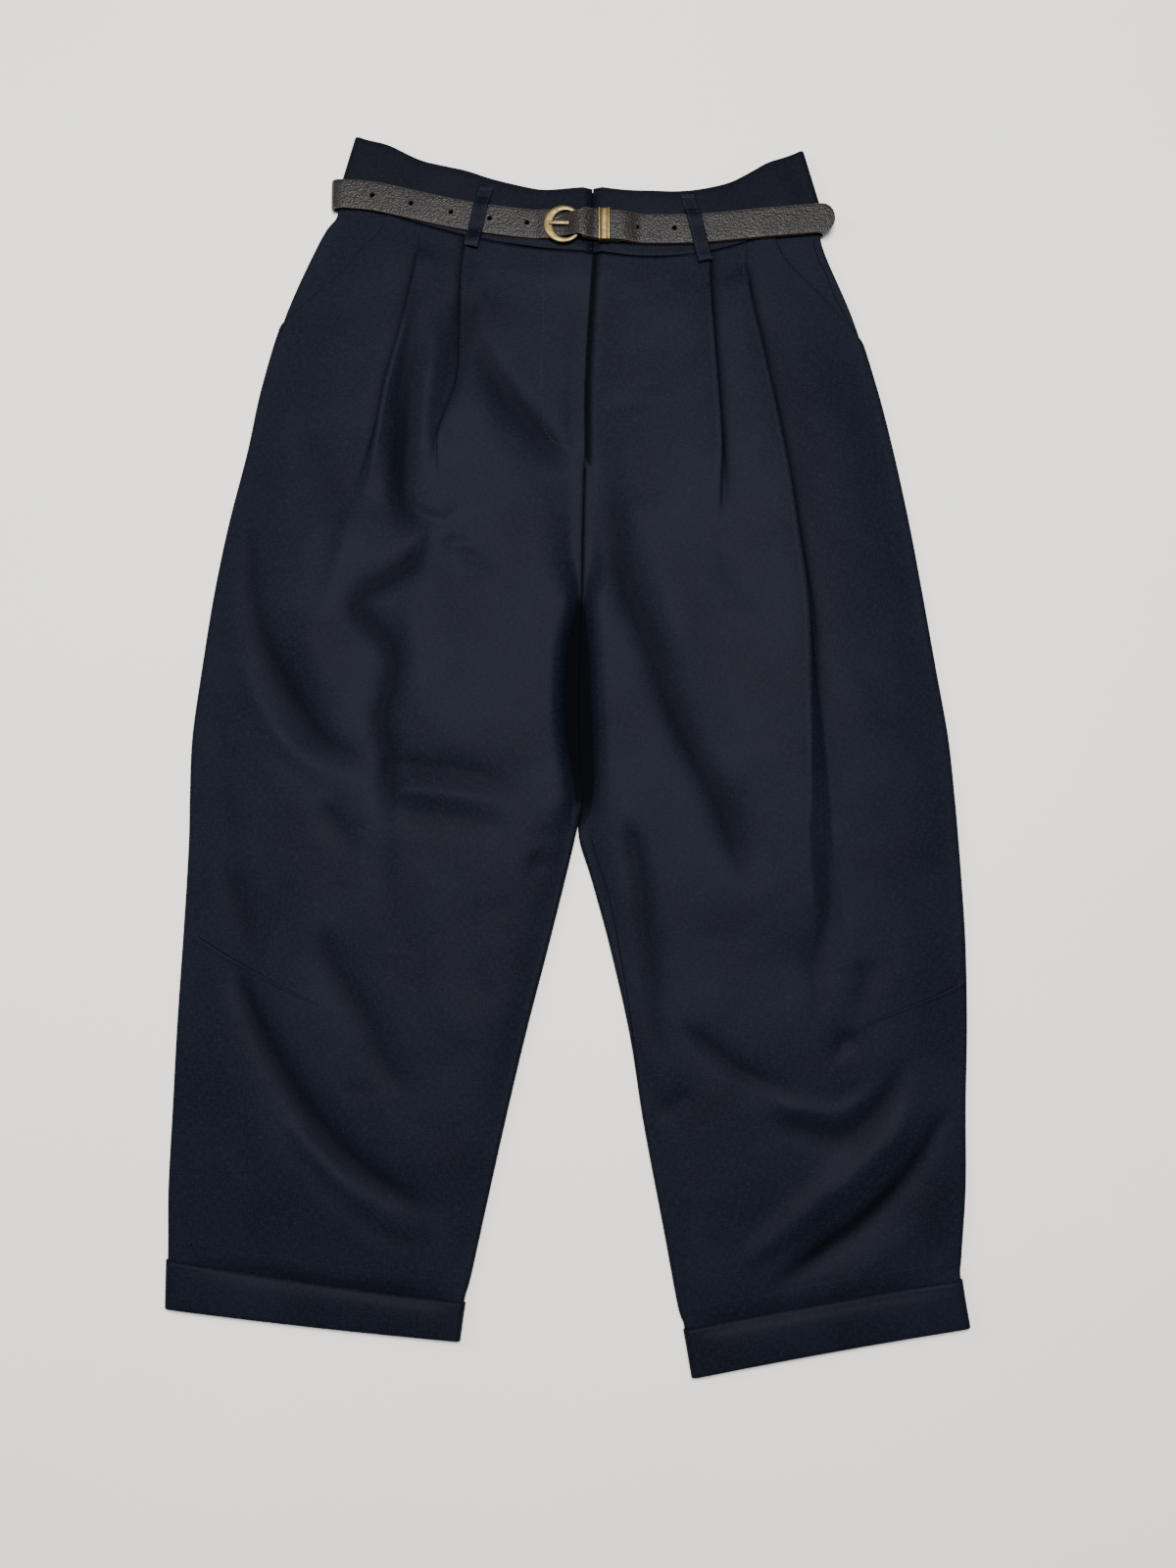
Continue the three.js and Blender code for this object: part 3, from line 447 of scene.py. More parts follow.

# Fold edge of each knife pleat, its tuck, where the tuck and the step run out, its ridge,
# how dark its painted shade in the corner is, and for the outer ones where the stitched-down top begins
rightPleats = [
    {"path": [[-77, 368], [-79, 349], [-80, 315], [-84, 260], [-90, 244], [-97, 225], [-100, 200]],
     "tuck": 12, "open": 255, "fade": 190, "ridge": 2.6, "dark": 0.8},
    {"path": [[-110, 385], [-113, 360], [-118, 335], [-124, 309], [-134, 271], [-143, 228],
              [-150, 198], [-160, 164], [-167, 134], [-177, 105], [-188, 84]],
     "tuck": 10, "open": 300, "fade": 170, "ridge": 4.6, "dark": 0.7, "sewn": 358},
]
leftPleats = [
    {"path": [[106, 368], [107, 334], [109, 305], [113, 248], [117, 190], [119, 160]],
     "tuck": 12, "open": 240, "fade": 160, "ridge": 2.6, "dark": 1.0},
    {"path": [[134, 378], [135, 343], [144, 300], [154, 251], [162, 210], [171, 152], [179, 99],
              [183, 29], [185, -42], [187, -102], [189, -127], [184, -163], [180, -198]],
     "tuck": 15, "open": 200, "fade": -170, "ridge": 4.6, "dark": 1.0, "sewn": 341},
]
pleating = {
    "layer": 1.5,
    "ramp": 24,        # how far the raised cloth slopes down beside a pleat
    "spread": 150,
    "points": 7,       # points round each bend
    "beside": [-0.2, 0.6, 1.5, 2.9, 5.0],      # columns of the lower layer that follow the fold edge
    "unsewn": 450,     # above the waist, for a pleat that is not stitched down
    "sewnRun": 18,
    "sewnShare": 0.9,
}

rightPocket = [[412, 43], [391, 38.5], [365, 34], [345, 25.5], [330, 16.5], [316, 8], [302, 0]]
leftPocket = [[402, 42], [387, 38], [370, 33.5], [354, 28], [336, 21.5], [318, 14], [301, 6.5], [288, 0]]

# Folds: the line, its half width, its height (less than 0 for a trough), how much higher its left side
# stands, and for some the length over which it begins and how much painted shade lies along its bottom
foldBegin = 28.0
rightFolds = [
    ([[-110, 360], [-113, 345], [-116, 328], [-116, 306], [-118, 284], [-121, 265], [-123, 236],
      [-125, 201], [-124, 177], [-118, 161], [-105, 150], [-96, 147]], 6.5, -6.5, 0.15, 150),
    ([[-80, 345], [-81, 309], [-83, 279], [-90, 252], [-97, 233], [-101, 214]], 6, -2.8, 0.2),
    ([[-99, 330], [-100, 290], [-105, 250], [-107, 210], [-104, 180]], 8, 2.4, 0, 60),
    ([[-158, 180], [-167, 134], [-177, 105], [-187, 78]], 8, 1.5, 0),
    ([[-124, 190], [-118, 174], [-105, 165], [-89, 162], [-79, 172], [-74, 188]], 5, 1.6, 0),
    ([[-64, 300], [-62, 262], [-62, 235], [-66, 200]], 13, 1.7, 0, 60),
    ([[-97, 147], [-75, 143], [-57, 138]], 5, 1.2, 0),
    ([[-86, 138], [-71, 136], [-58, 128], [-52, 118]], 7, -1.6, 0),
    ([[-72, 336], [-66, 298], [-53, 273], [-34, 246], [-19, 228], [0, 209], [13, 182],
      [15, 160]], 8, -4.6, 0.5, 110),
    ([[-105, 158], [-112, 134], [-133, 118], [-151, 108], [-155, 97], [-147, 87], [-135, 76],
      [-129, 66], [-129, 39], [-135, 18], [-130, -10], [-130, -50], [-132, -80]], 8, -4.4, 0.1),
    ([[-115, 110], [-114, 60], [-112, 10]], 12, 1.6, 0),
    ([[-205, 250], [-190, 214], [-169, 170], [-160, 140]], 16, -2.0, 0),
    ([[-238, 172], [-236, 149], [-233, 112], [-222, 72], [-207, 43], [-192, 18], [-174, -4],
      [-153, -13], [-136, -13]], 10, -4.8, 0.3),
    ([[-247, 69], [-229, 32], [-203, -4], [-174, -25], [-145, -40]], 9, 1.9, 0),
    ([[-200, 100], [-180, 50], [-150, 12]], 16, 1.8, 0),
    ([[-138, -18], [-106, -20], [-74, -23], [-47, -34], [-28, -46]], 8, -3.0, 0),
    ([[-138, -36], [-92, -39], [-49, -47], [-28, -55]], 7, 1.6, 0),
    ([[-134, -51], [-92, -56], [-56, -62], [-26, -69]], 8, -2.0, 0),
    ([[-181, -43], [-163, -68], [-145, -83]], 8, -2.4, 0),
    ([[-261, 40], [-257, -4], [-249, -54], [-244, -100]], 12, -2.6, 0),
    ([[-131, -61], [-132, -97], [-137, -132]], 8, -1.4, 0),
    ([[-31, -86], [-16, -93], [-2, -99]], 5, -2.4, 0),
    ([[-252, -86], [-240, -122], [-227, -155], [-218, -168]], 12, -3.2, 0),
    ([[-240, -160], [-236, -175], [-221, -210], [-203, -241], [-185, -269], [-160, -297],
      [-139, -314], [-111, -331], [-83, -342]], 9, -4.8, 0.2),
    ([[-205, -270], [-185, -293], [-160, -318], [-139, -335], [-118, -349]], 8, 2.0, 0),
    ([[-160, -331], [-131, -356], [-89, -362]], 9, -1.8, 0),
    ([[-178, -132], [-169, -168], [-158, -185], [-144, -206], [-133, -234], [-101, -266]], 10, -2.8, 0),
    ([[-168, -255], [-132, -254]], 5, -0.8, 0),
    ([[-320, -370], [-285, -375], [-166, -392], [-74, -405], [-40, -409]], 4.5, -3, 0, 60, 1.25),
]
leftFolds = [
    ([[14, 223], [26, 186], [34, 149], [46, 109], [62, 69], [77, 25], [94, -11], [112, -47],
      [122, -75], [136, -115]], 10, -4.4, -0.3),
    ([[40, 190], [66, 110], [100, 30]], 20, 1.8, 0),
    ([[19, 243], [41, 249], [70, 249]], 6, -0.9, 0),
    ([[113, 149], [120, 120], [142, 98], [163, 109]], 8, -1.2, 0),
    ([[44, -54], [53, -100], [56, -136], [60, -171], [61, -210], [68, -227], [77, -245]], 8, -3.4, 0.2),
    ([[80, -205], [104, -224], [128, -241], [153, -252], [178, -259]], 6, -3.4, 0),
    ([[142, -259], [170, -268], [199, -269], [220, -255], [238, -234]], 6, 2.0, 0),
    ([[142, -273], [170, -282], [198, -287], [220, -273], [238, -248], [257, -220]], 8, -3.6, 0),
    ([[287, -260], [269, -276], [251, -304], [233, -325], [212, -345], [183, -366], [155, -386],
      [138, -398]], 7, -4.0, -0.8, 28, 0.9),
    ([[124, -380], [166, -344], [202, -316], [235, -285], [264, -250]], 11, 3.0, 0),
    ([[210, -210], [196, -224], [188, -236]], 6, -2.6, 0),
    ([[285, -352], [267, -366], [257, -380]], 6, -2.8, 0),
    ([[58, -278], [79, -262], [97, -255]], 7, -2.6, 0),
    ([[214, -154], [217, -182], [199, -199]], 9, -1.8, 0),
    ([[187, -68], [190, -100], [188, -136], [180, -164], [182, -189], [171, -217]], 9, -2.4, 0),
    ([[54, -429], [85, -424], [145, -413], [183, -406], [232, -398], [325, -384]], 4.5, -3, 0, 60, 1.25),
]

# The deep cleft below the fly: how far out from the centre seam each leg's side of it begins
rightCleft = [[112, 0], [93, 4.5], [73, 8.5], [51, 9.5], [21, 10], [-3, 8.5], [-25, 6], [-45, 4], [-62, 0]]
leftCleft = [[112, 0], [91, 3.5], [61, 7], [21, 9], [-9, 10], [-35, 8.5], [-52, 5], [-66, 0]]


def lengthOf(line):
    return np.concatenate([[0], np.cumsum(np.linalg.norm(np.diff(line, axis=0), axis=1))])


def readFold(points, width, height, lean, begin=foldBegin, troughShade=None):
    line, _ = smoothPath(points, 6)
    if troughShade is None:
        troughShade = min(1.0, (abs(height) / 6.0) ** 1.6)
    return SimpleNamespace(line=line, reach=lengthOf(line), width=width, height=height, lean=lean,
                           begin=begin, troughShade=troughShade)


def makeLeg(side, edges, pleats, pocket, folds, cleft, bandDepth, seed):
    stations = np.concatenate([np.array(edges, float), np.array(stationForms, float)], axis=1)
    return SimpleNamespace(side=side, stations=stations, pleats=pleats, pocket=pocket, cleft=cleft,
                           folds=[readFold(*fold) for fold in folds], bandDepth=bandDepth, seed=seed)


# A trough comes to a soft edge at its bottom, with painted shade along it; a ridge is round
def foldHeight(leg, x, y):
    total = np.zeros(np.broadcast(x, y).shape)
    hollow = np.zeros(total.shape)
    for fold in leg.folds:
        line, reach, width = fold.line, fold.reach, fold.width
        nearest = np.full(total.shape, np.inf)
        share = np.zeros(total.shape)
        side = np.zeros(total.shape)
        for i in range(len(line) - 1):
            ax, ay = line[i]
            dx, dy = line[i + 1] - line[i]
            t = np.clip(((x - ax) * dx + (y - ay) * dy) / (dx * dx + dy * dy), 0, 1)
            offX, offY = x - ax - dx * t, y - ay - dy * t
            distance = np.hypot(offX, offY)
            closer = distance < nearest
            nearest = np.where(closer, distance, nearest)
            share = np.where(closer, reach[i] + t * (reach[i + 1] - reach[i]), share)
            side = np.where(closer, np.sign(dx * offY - dy * offX), side)
        fadeIn = min(fold.begin, reach[-1] * (0.35 if fold.begin == foldBegin else 0.7))
        fadeOut = min(60.0, reach[-1] * 0.6)
        nearest = nearest / (0.5 + 0.5 * smoothStep(share, 0, 0.3 * reach[-1]))
        ends = smoothStep(share, 0, fadeIn) * (1 - smoothStep(share, reach[-1] - fadeOut, reach[-1]))
        if fold.height < 0:
            edge = 0.35 * width
            bell = np.exp(-(np.sqrt(nearest**2 + edge**2) - edge) / width)
            bell = bell * (1 - smoothStep(nearest, 3 * width, 5 * width))
            core = np.exp(-((nearest / (0.85 * width)) ** 2))
            hollow = np.maximum(hollow, cloth["shadow"] * ends * core * fold.troughShade)
        else:
            bell = np.exp(-((nearest / width) ** 2))
        leaning = fold.lean * side * nearest / width * abs(fold.height)
        total += cloth["foldGain"] * ends * bell * (fold.height + leaning)
    return total, hollow


def rowsAt(leg, places):
    places = np.asarray(places, float)
    values = smoothRows(leg.stations, places)
    for name in evenNames:
        k = stationNames.index(name)
        values[:, k] = np.interp(places, np.arange(len(leg.stations)), leg.stations[:, k])
    row = SimpleNamespace(**{name: values[:, [k]] for k, name in enumerate(stationNames)})
    run = np.hypot(row.outerX - row.innerX, row.outerY - row.innerY)
    row.acrossX = (row.outerX - row.innerX) / run
    row.acrossY = (row.outerY - row.innerY) / run
    turn = row.innerRoll * math.pi
    rolled = rollLength / np.maximum(turn, 0.05) * np.sin(np.minimum(turn, math.pi / 2))
    reach = np.where(turn < 0.05, rollLength, rolled)
    row.startX = row.innerX + row.acrossX * reach
    row.startY = row.innerY + row.acrossY * reach
    row.width = run - reach - cloth["roll"]
    row.endY = row.startY + row.acrossY * row.width
    stations = np.arange(len(leg.stations))
    shifts = (-1.0, -0.67, -0.33, 0, 0.33, 0.67, 1.0)
    levels = leg.stations[:, stationNames.index("back")]
    soft = sum(np.interp(places + shift, stations, levels) for shift in shifts) / len(shifts)
    row.level = soft[:, None] + 2 * cloth["roll"]
    return row


def spotAt(row, distance):
    share = np.clip(distance / row.width, 0, 1)
    sag = row.sag * 4 * share * (1 - share)
    return row.startX + row.acrossX * distance, row.startY + row.acrossY * distance + sag


def frontRise(leg, row, distance, x, y):
    cleft = lookUp(leg.cleft, y, 6.0)
    opened = smoothStep(y, 150, 96) * (1 - row.innerRoll)
    fromInner = np.maximum(distance + rollLength * opened - cleft, 0)
    fromOuter = np.maximum(row.width - distance, 0)
    shoulder = blend(cloth["innerShoulder"], cloth["cleftShoulder"], opened)
    inner = 1 - np.exp(-((fromInner / shoulder) ** 1.5))
    outer = 1 - np.exp(-((fromOuter / cloth["outerShoulder"]) ** 1.5))
    dome = row.crown * outer * (0.8 + 0.2 * np.sin(math.pi * fromInner / row.width))
    calm = smoothStep(row.crown, 0.3, 3.0)
    folds, hollow = foldHeight(leg, x, y)
    # Painted shade along the edge of the cleft below the fly
    lip = (1 - smoothStep(fromInner, 0, 2.2)) * smoothStep(cleft, 0.2, 2.5)
    hollow = np.maximum(hollow * inner * outer, lip)
    uneven = cloth["undulation"] * clothWobble(x + leg.seed, y)
    uneven = uneven + cloth["ripple"] * clothRipple(x, y + leg.seed)
    return blend(row.innerRise, dome, inner) + (folds + uneven * calm) * inner * outer, hollow


def frontPoint(leg, row, distance, lift=0.0, tucks=()):
    x, y = spotAt(row, distance)
    over = distance + 0 * x
    for edge, tuck, folded in tucks:
        inside = smoothStep(over, edge - tuck - 8, edge - tuck - 1.5) * (over < edge)
        over = blend(over, edge, inside * np.clip(3 * folded, 0, 1))
    rise, hollow = frontRise(leg, row, over, *spotAt(row, over))
    z = np.maximum(row.level + rise, row.back + cloth["layer"] + 0.2) + lift
    return np.stack(np.broadcast_arrays(x, y, z, hollow), axis=-1)


# Points past the end of a row's top, round the rolled edge
def edgePoint(leg, row, edge, arc, offset=0.0):
    outward = 1 if edge == "outer" else -1
    rowEnd = row.width if edge == "outer" else 0 * row.width
    arc = arc + 0 * row.width
    flat = frontPoint(leg, row, rowEnd + outward * np.minimum(arc, 0), offset)
    turn = math.pi + 0 * row.width if edge == "outer" else row.innerRoll * math.pi
    angle = turn * arc / rollLength
    radius = rollLength / np.maximum(turn, 0.05)
    out = np.where(turn < 0.05, arc, radius * np.sin(angle))
    drop = np.where(turn < 0.05, 0, radius * (1 - np.cos(angle)))
    top = frontPoint(leg, row, rowEnd + 0 * arc)
    reach = outward * (out + offset * np.sin(angle))
    z = np.maximum(top[..., 2] - drop, row.back) + offset * np.cos(angle)
    x, y = top[..., 0] + row.acrossX * reach, top[..., 1] + row.acrossY * reach
    rolled = np.stack([x, y, z, top[..., 3]], axis=-1)
    return np.where((arc <= 0)[..., None], flat, rolled)


def rowPlaces(leg, first, last, step):
    outer = leg.stations[:, [2, 3]]
    places = []
    for i in range(math.ceil(last - first)):
        k = int(first + i)
        if k + 1 >= len(outer):
            break
        run = np.linalg.norm(outer[k + 1] - outer[k])
        pieces = max(2, round(run / step))
        places += [k + n / pieces for n in range(pieces) if k + n / pieces < last]
    return np.array(places + [last])


def pleatMarks(row, pleat):
    path = smoothPath(pleat["path"], 6)[0][::-1]
    distance = row.width / 2
    for _ in range(10):
        y = spotAt(row, distance)[1]
        distance = (np.interp(y, path[:, 1], path[:, 0]) - row.startX) / row.acrossX
    y = spotAt(row, distance)[1]
    top = pleat["path"][0][1]
    sewn = pleat.get("sewn", pleating["unsewn"])
    free = 1 - pleating["sewnShare"] * smoothStep(y, sewn, sewn + pleating["sewnRun"])
    tuck = pleat["tuck"] * np.clip((y - pleat["open"]) / (top - pleat["open"]), 0, 1) * free
    folded = smoothStep(y, pleat["fade"], pleat["open"]) * free
    gathered = smoothStep(y, pleat["fade"] - pleating["spread"], pleat["open"])
    ridge = pleat["ridge"] * smoothStep(y, pleat["fade"], pleat["fade"] + 60) * (1 - smoothStep(y, 300, 370))
    layer, turnPoints = pleating["layer"], pleating["points"]
    bend = layer / 2
    first = np.radians(np.linspace(90, -90, turnPoints))
    second = np.radians(np.linspace(90, 270, turnPoints))
    beside = np.array(pleating["beside"])
    offsets = np.concatenate([bend * (np.cos(first) - 1) + 0 * tuck, bend * (np.cos(second) - 1) - tuck,
                              beside + 0 * tuck], axis=1)
    heights = np.concatenate([1.5 * layer + bend * np.sin(first), 0.5 * layer + bend * np.sin(second),
                              0 * beside])
    share = np.concatenate([np.linspace(0, 1, 2 * turnPoints), 1 + 0 * beside])
    return distance, offsets, folded * heights + ridge * (1 - share), gathered, tuck, folded


# Down to the end of the fly the right leg lies over the left one, which reaches on under it
fly = {"lap": 8, "end": 212, "lift": 1.5}


def frontGrid(leg, places):
    row = rowsAt(leg, places)
    widest = float(row.width.max())
    cells = round(widest / cloth["cell"])
    turnPoints = pleating["points"]
    pleatCells = 2 * turnPoints + len(pleating["beside"]) - 1
    rest = cells - 2 * pleatCells
    counts = [round(rest * 0.42), round(rest * 0.19), rest - round(rest * 0.42) - round(rest * 0.19)]
    bandCells = 8
    flyShare = smoothStep(row.startY, fly["end"] - 10, fly["end"])
    lapped, lifted = 0 * row.width, 0 * row.width
    if leg.side == "left":
        lapped = fly["lap"] * flyShare
    else:
        lifted = fly["lift"] * smoothStep(row.startY, fly["end"] - 25, fly["end"] - 11)
    inset = lookUp(leg.pocket, row.endY)
    edge = row.width - inset

    arc = rollLength * (1 - np.arange(bandCells) / bandCells)[None, :]
    start = edgePoint(leg, row, "inner", arc)
    unrolled = frontPoint(leg, row, -arc)
    start = blend(unrolled, start, smoothStep(row.innerRoll, 0, 0.3)[..., None])
    seam = (-0.2 - lapped) * (1 - row.innerRoll) * arc / rollLength
    start[..., 0] += row.acrossX * seam
    start[..., 1] += row.acrossY * seam
    start[..., 2] += lifted
    # Painted shade in the slit of the fly, and below it along the centre seam
    slit = 0.95 * np.exp(-(((arc - 2.6) / 1.5) ** 2)) * lapped / fly["lap"]
    centre = 0.9 * np.exp(-(((rollLength - arc) / 1.5) ** 2)) * (1 - flyShare)
    start[..., 3] = np.maximum(np.maximum(start[..., 3], slit), centre * (1 - row.innerRoll))

    total = cells
    starts = [counts[0], counts[0] + pleatCells + counts[1]]
    marks, tucks = [], []
    for n, pleat in enumerate(leg.pleats):
        edgeAt, offsets, heights, gathered, tuck, folded = pleatMarks(row, pleat)
        natural = edge * (starts[n] + np.arange(pleatCells + 1)[None, :]) / total
        marks.append((blend(natural, edgeAt + offsets, gathered), heights))
        tucks.append((edgeAt, tuck, folded))

    # The columns next to the centre follow the edge of the cleft
    def fromCentre(b, count):
        edge = np.maximum(lookUp(leg.cleft, row.startY, 6.0) - rollLength, 3.0)
        near = edge * np.arange(4)[None, :] / 4
        lip = edge + np.array([[0, 0.7, 1.6, 2.8, 4.4]])
        rest = blend(lip[:, [-1]], b, np.arange(1, count - 8)[None, :] / (count - 8))
        return place(np.concatenate([near, lip, rest], axis=1))

    def place(distance):
        lift = ramp(distance) + lifted * (1 - smoothStep(distance, 6, 34))
        return frontPoint(leg, row, distance, lift, tucks)

    def ramp(distance, skip=0):
        lift = 0
        for where, height in marks[skip:]:
            before = where[:, [0]] - distance
            slope = np.exp(-np.maximum(before, 0) / pleating["ramp"])
            lift = lift + np.where(before > 0, height[:, [0]] * slope, 0)
        return lift

    def spread(a, b, count, first):
        share = np.arange(first, count)[None, :] / count
        return place(blend(a, b, share))

    (firstAt, firstUp), (secondAt, secondUp) = marks
    parts = [
        start,
        fromCentre(firstAt[:, [0]], counts[0]),
        frontPoint(leg, row, firstAt, firstUp + ramp(firstAt, 1), tucks),
        spread(firstAt[:, [-1]], secondAt[:, [0]], counts[1], 1),
        frontPoint(leg, row, secondAt, secondUp, tucks),
        spread(secondAt[:, [-1]], edge, counts[2], 1),
        edgePoint(leg, row, "outer", rollLength * np.arange(bandCells + 1)[None, :] / bandCells - inset),
    ]
    grid = np.concatenate(parts, axis=1)
    # A line of painted shade lies in the corner beside each fold edge
    for n, (pleat, (edgeAt, _, folded)) in enumerate(zip(leg.pleats, tucks)):
        first = bandCells + starts[n] + 2 * turnPoints
        along = (grid[..., 0] - row.startX) / row.acrossX
        beside = along[:, first:] - edgeAt
        corner = 0 * along
        fading = np.clip(1.3 * folded - 0.1, 0, 1)
        corner[:, first:] = np.exp(-(np.maximum(beside - 0.5, 0) / 2.6) ** 1.3) * fading
        grid[..., 3] = np.maximum(grid[..., 3], corner * pleat["dark"])
    return grid


# A layer of cloth, turned so that its face looks up
def clothPiece(part, leg, grid, wall, node, material):
    grid = grid if grid[0, 0, 0] < grid[0, -1, 0] else grid[:, ::-1]
    obj = gridPiece(f"cloth_{part}_{leg.side}", grid[::-1])
    addWall(obj, wall * 0.001)
    return finishPiece(obj, [f"{node}_{leg.side}"], material)


def makeFront(leg):
    last = len(leg.stations) - 1.2
    places = np.concatenate([rowPlaces(leg, 0, last - 1, 3.2)[:-1], rowPlaces(leg, last - 1, last, 1.6)])
    return clothPiece("front", leg, frontGrid(leg, places), cloth["wall"], "front", navy)


def makeBack(leg):
    row = rowsAt(leg, rowPlaces(leg, 0, len(leg.stations) - 1.2, 9))
    share = np.linspace(0, 1, 34)[None, :]
    begin = -rollLength * (1 - row.innerRoll) + blend(-0.2, 0.3, row.innerRoll)
    distance = blend(begin, row.width - 0.3, share)
    x, y = spotAt(row, distance)
    grid = np.stack(np.broadcast_arrays(x, y, row.back + 0 * x), axis=-1)
    return clothPiece("back", leg, grid, cloth["backWall"], "back", navyShadedUnder)


def makeBearer(leg):
    places = rowPlaces(leg, 0, 3.8, 5)
    row = rowsAt(leg, places)
    inset = lookUp(leg.pocket, row.endY)
    flat = blend(-inset - 12, 0 * inset, np.arange(24)[None, :] / 24)
    arcs = np.concatenate([flat, rollLength * np.arange(9)[None, :] / 8 + 0 * inset], axis=1)
    grid = edgePoint(leg, row, "outer", arcs, -1.6)
    # Painted shade along the pocket's edge, where the front lies over the bearer
    grid[..., 3] = 0.8 * np.exp(-np.abs(arcs + inset) / 1.8) * smoothStep(inset + 0 * arcs, 0.0, 3.0)
    return clothPiece("bearer", leg, grid, cloth["wall"], "pocket_bearer", navy)


rightBandDepth = [[0, 50], [0.17, 45], [0.4, 48], [0.5, 50], [0.7, 47], [0.86, 50], [1, 45]]
leftBandDepth = [[0, 50], [0.23, 51], [0.44, 49], [0.63, 48], [0.82, 52], [1, 45]]

rightLeg = makeLeg("right", rightEdges, rightPleats, rightPocket, rightFolds, rightCleft, rightBandDepth, 0)
leftLeg = makeLeg("left", leftEdges, leftPleats, leftPocket, leftFolds, leftCleft, leftBandDepth, 400)


def forBoth(make):
    return {leg.side: make(leg) for leg in (rightLeg, leftLeg)}


fronts = forBoth(makeFront)
backs = forBoth(makeBack)
bearers = forBoth(makeBearer)
print("legs made")


waistRow = {leg.side: rowsAt(leg, [0.0]) for leg in (rightLeg, leftLeg)}
band = {
    "wall": 2.0,
    "depth": 49,
    "middle": 19,      # where its two halves meet
    "half": 180,       # half its length
    "clear": 1.1,      # half its wall and a little play
    "roll": 2.3,
    "backLevel": 4.9,
    "crown": 1.5,
    "lean": 13,
    "wave": 0.35,
    "columns": 120,
}


def bandPlace(leg, share, height):
    row = waistRow[leg.side]
    width = float(row.width[0, 0]) + cloth["roll"] - band["roll"]
    along = np.maximum(share, 0)
    distance = np.where(share < 0, share * rollLength, width * share)
    lean = band["lean"] if leg.side == "right" else -band["lean"]
    x, y = spotAt(row, distance)
    return x[0] + lean * along * along * height, y[0] + 0.4 + lookUp(leg.bandDepth, along, 0.025) * height


# Points round the section of a stiff folded strip: share of its depth, and height over its middle
def stripSection(depth, thickness, corner=8, run=10):
    half = thickness / 2
    bend = np.linspace(-math.pi / 2, math.pi / 2, corner)[::-1]
    end = half / depth
    faceUp = np.linspace(end, 1 - end, run)
    shares = np.concatenate([faceUp, 1 - end + end * np.cos(bend), faceUp[::-1], end - end * np.cos(bend)])
    level = np.full(run, half)
    heights = np.concatenate([level, half * np.sin(bend), -level, -half * np.sin(bend)])
    return shares, heights


def bandFrontPiece(leg):
    shares = np.concatenate([[-0.96], np.linspace(0, 1, band["columns"])])
    angles = np.linspace(0, math.pi, 12)[1:]
    section, lifts = stripSection(band["depth"], band["wall"])
    rows = []
    acrossX, acrossY = float(waistRow[leg.side].acrossX[0, 0]), float(waistRow[leg.side].acrossY[0, 0])
    for share in shares:
        x, y = bandPlace(leg, np.full(len(section), share), section)
        crown = band["crown"] * (1 - max(share, 0) ** 2)
        calm = smoothStep(share, 1.0, 0.9) * smoothStep(share, -0.1, 0.05)
        wave = band["wave"] * bandWobble(x + leg.seed, y) * calm
        rows.append(np.stack([x, y, band["backLevel"] + 2 * band["roll"] + crown + lifts + wave], axis=-1))
    for angle in angles:
        x, y = bandPlace(leg, np.full(len(section), 1.0), section)
        out = (band["roll"] + lifts) * math.sin(angle)
        z = band["backLevel"] + band["roll"] + (band["roll"] + lifts) * math.cos(angle)
        rows.append(np.stack([x + acrossX * out, y + acrossY * out, z], axis=-1))
    grid = np.array(rows)
    if leg.side == "left":
        grid = grid[:, ::-1]
    obj = gridPiece(f"band_front_{leg.side}", grid, closed=True, capped=True)
    return finishPiece(obj, [f"waistband_front_{leg.side}"], navyShadedBand)


def bandBackPiece():
    section, lifts = stripSection(band["depth"], band["wall"])
    rows = []
    for leg, shares in ((rightLeg, np.linspace(1, 0, 60)), (leftLeg, np.linspace(0, 1, 60)[1:])):
        for share in shares:
            x, y = bandPlace(leg, np.full(len(section), share), section * 0.97)
            clear = 0.8 * (share > 0.999) * (1 if leg.side == "right" else -1)
            rows.append(np.stack([x + clear, y, band["backLevel"] + lifts], axis=-1))
    obj = gridPiece("band_back", np.array(rows)[:, ::-1], closed=True, capped=True)
    return finishPiece(obj, ["waistband_back"], navyShadedUnder)


bandFronts = forBoth(bandFrontPiece)
bandBack = bandBackPiece()


def bandTop(x):
    share = np.clip(abs(x - band["middle"]) / band["half"], 0, 1)
    return band["backLevel"] + 2 * band["roll"] + band["crown"] * (1 - share * share) + band["clear"]


print("waistband made")


cuffs = {
    "depth": 34,
    "lip": 12,
    "gape": 1.8,
    "layer": 1.3,
    "wall": 1.0,
}


def cuffProfile():
    depth, lip, layer, half = cuffs["depth"], cuffs["lip"], cuffs["layer"], cuffs["wall"] / 2
    turn = np.radians(np.linspace(90, 270, 9))
    outer = [(depth - k, layer + half, (depth - k) / depth) for k in np.linspace(0, depth - layer, 10)]
    outer += [(layer + (layer + half) * math.cos(a), (layer + half) * math.sin(a), 0) for a in turn[1:]]
    outer += [(lip, -layer - half, 0), (lip, -layer + half, 0)]
    inner = [(layer + (layer - half) * math.cos(a), (layer - half) * math.sin(a), 0) for a in turn[::-1]]
    inner += [(depth - k, layer - half, (depth - k) / depth) for k in np.linspace(depth - layer, 0, 10)[1:]]
    return np.array(outer + inner)


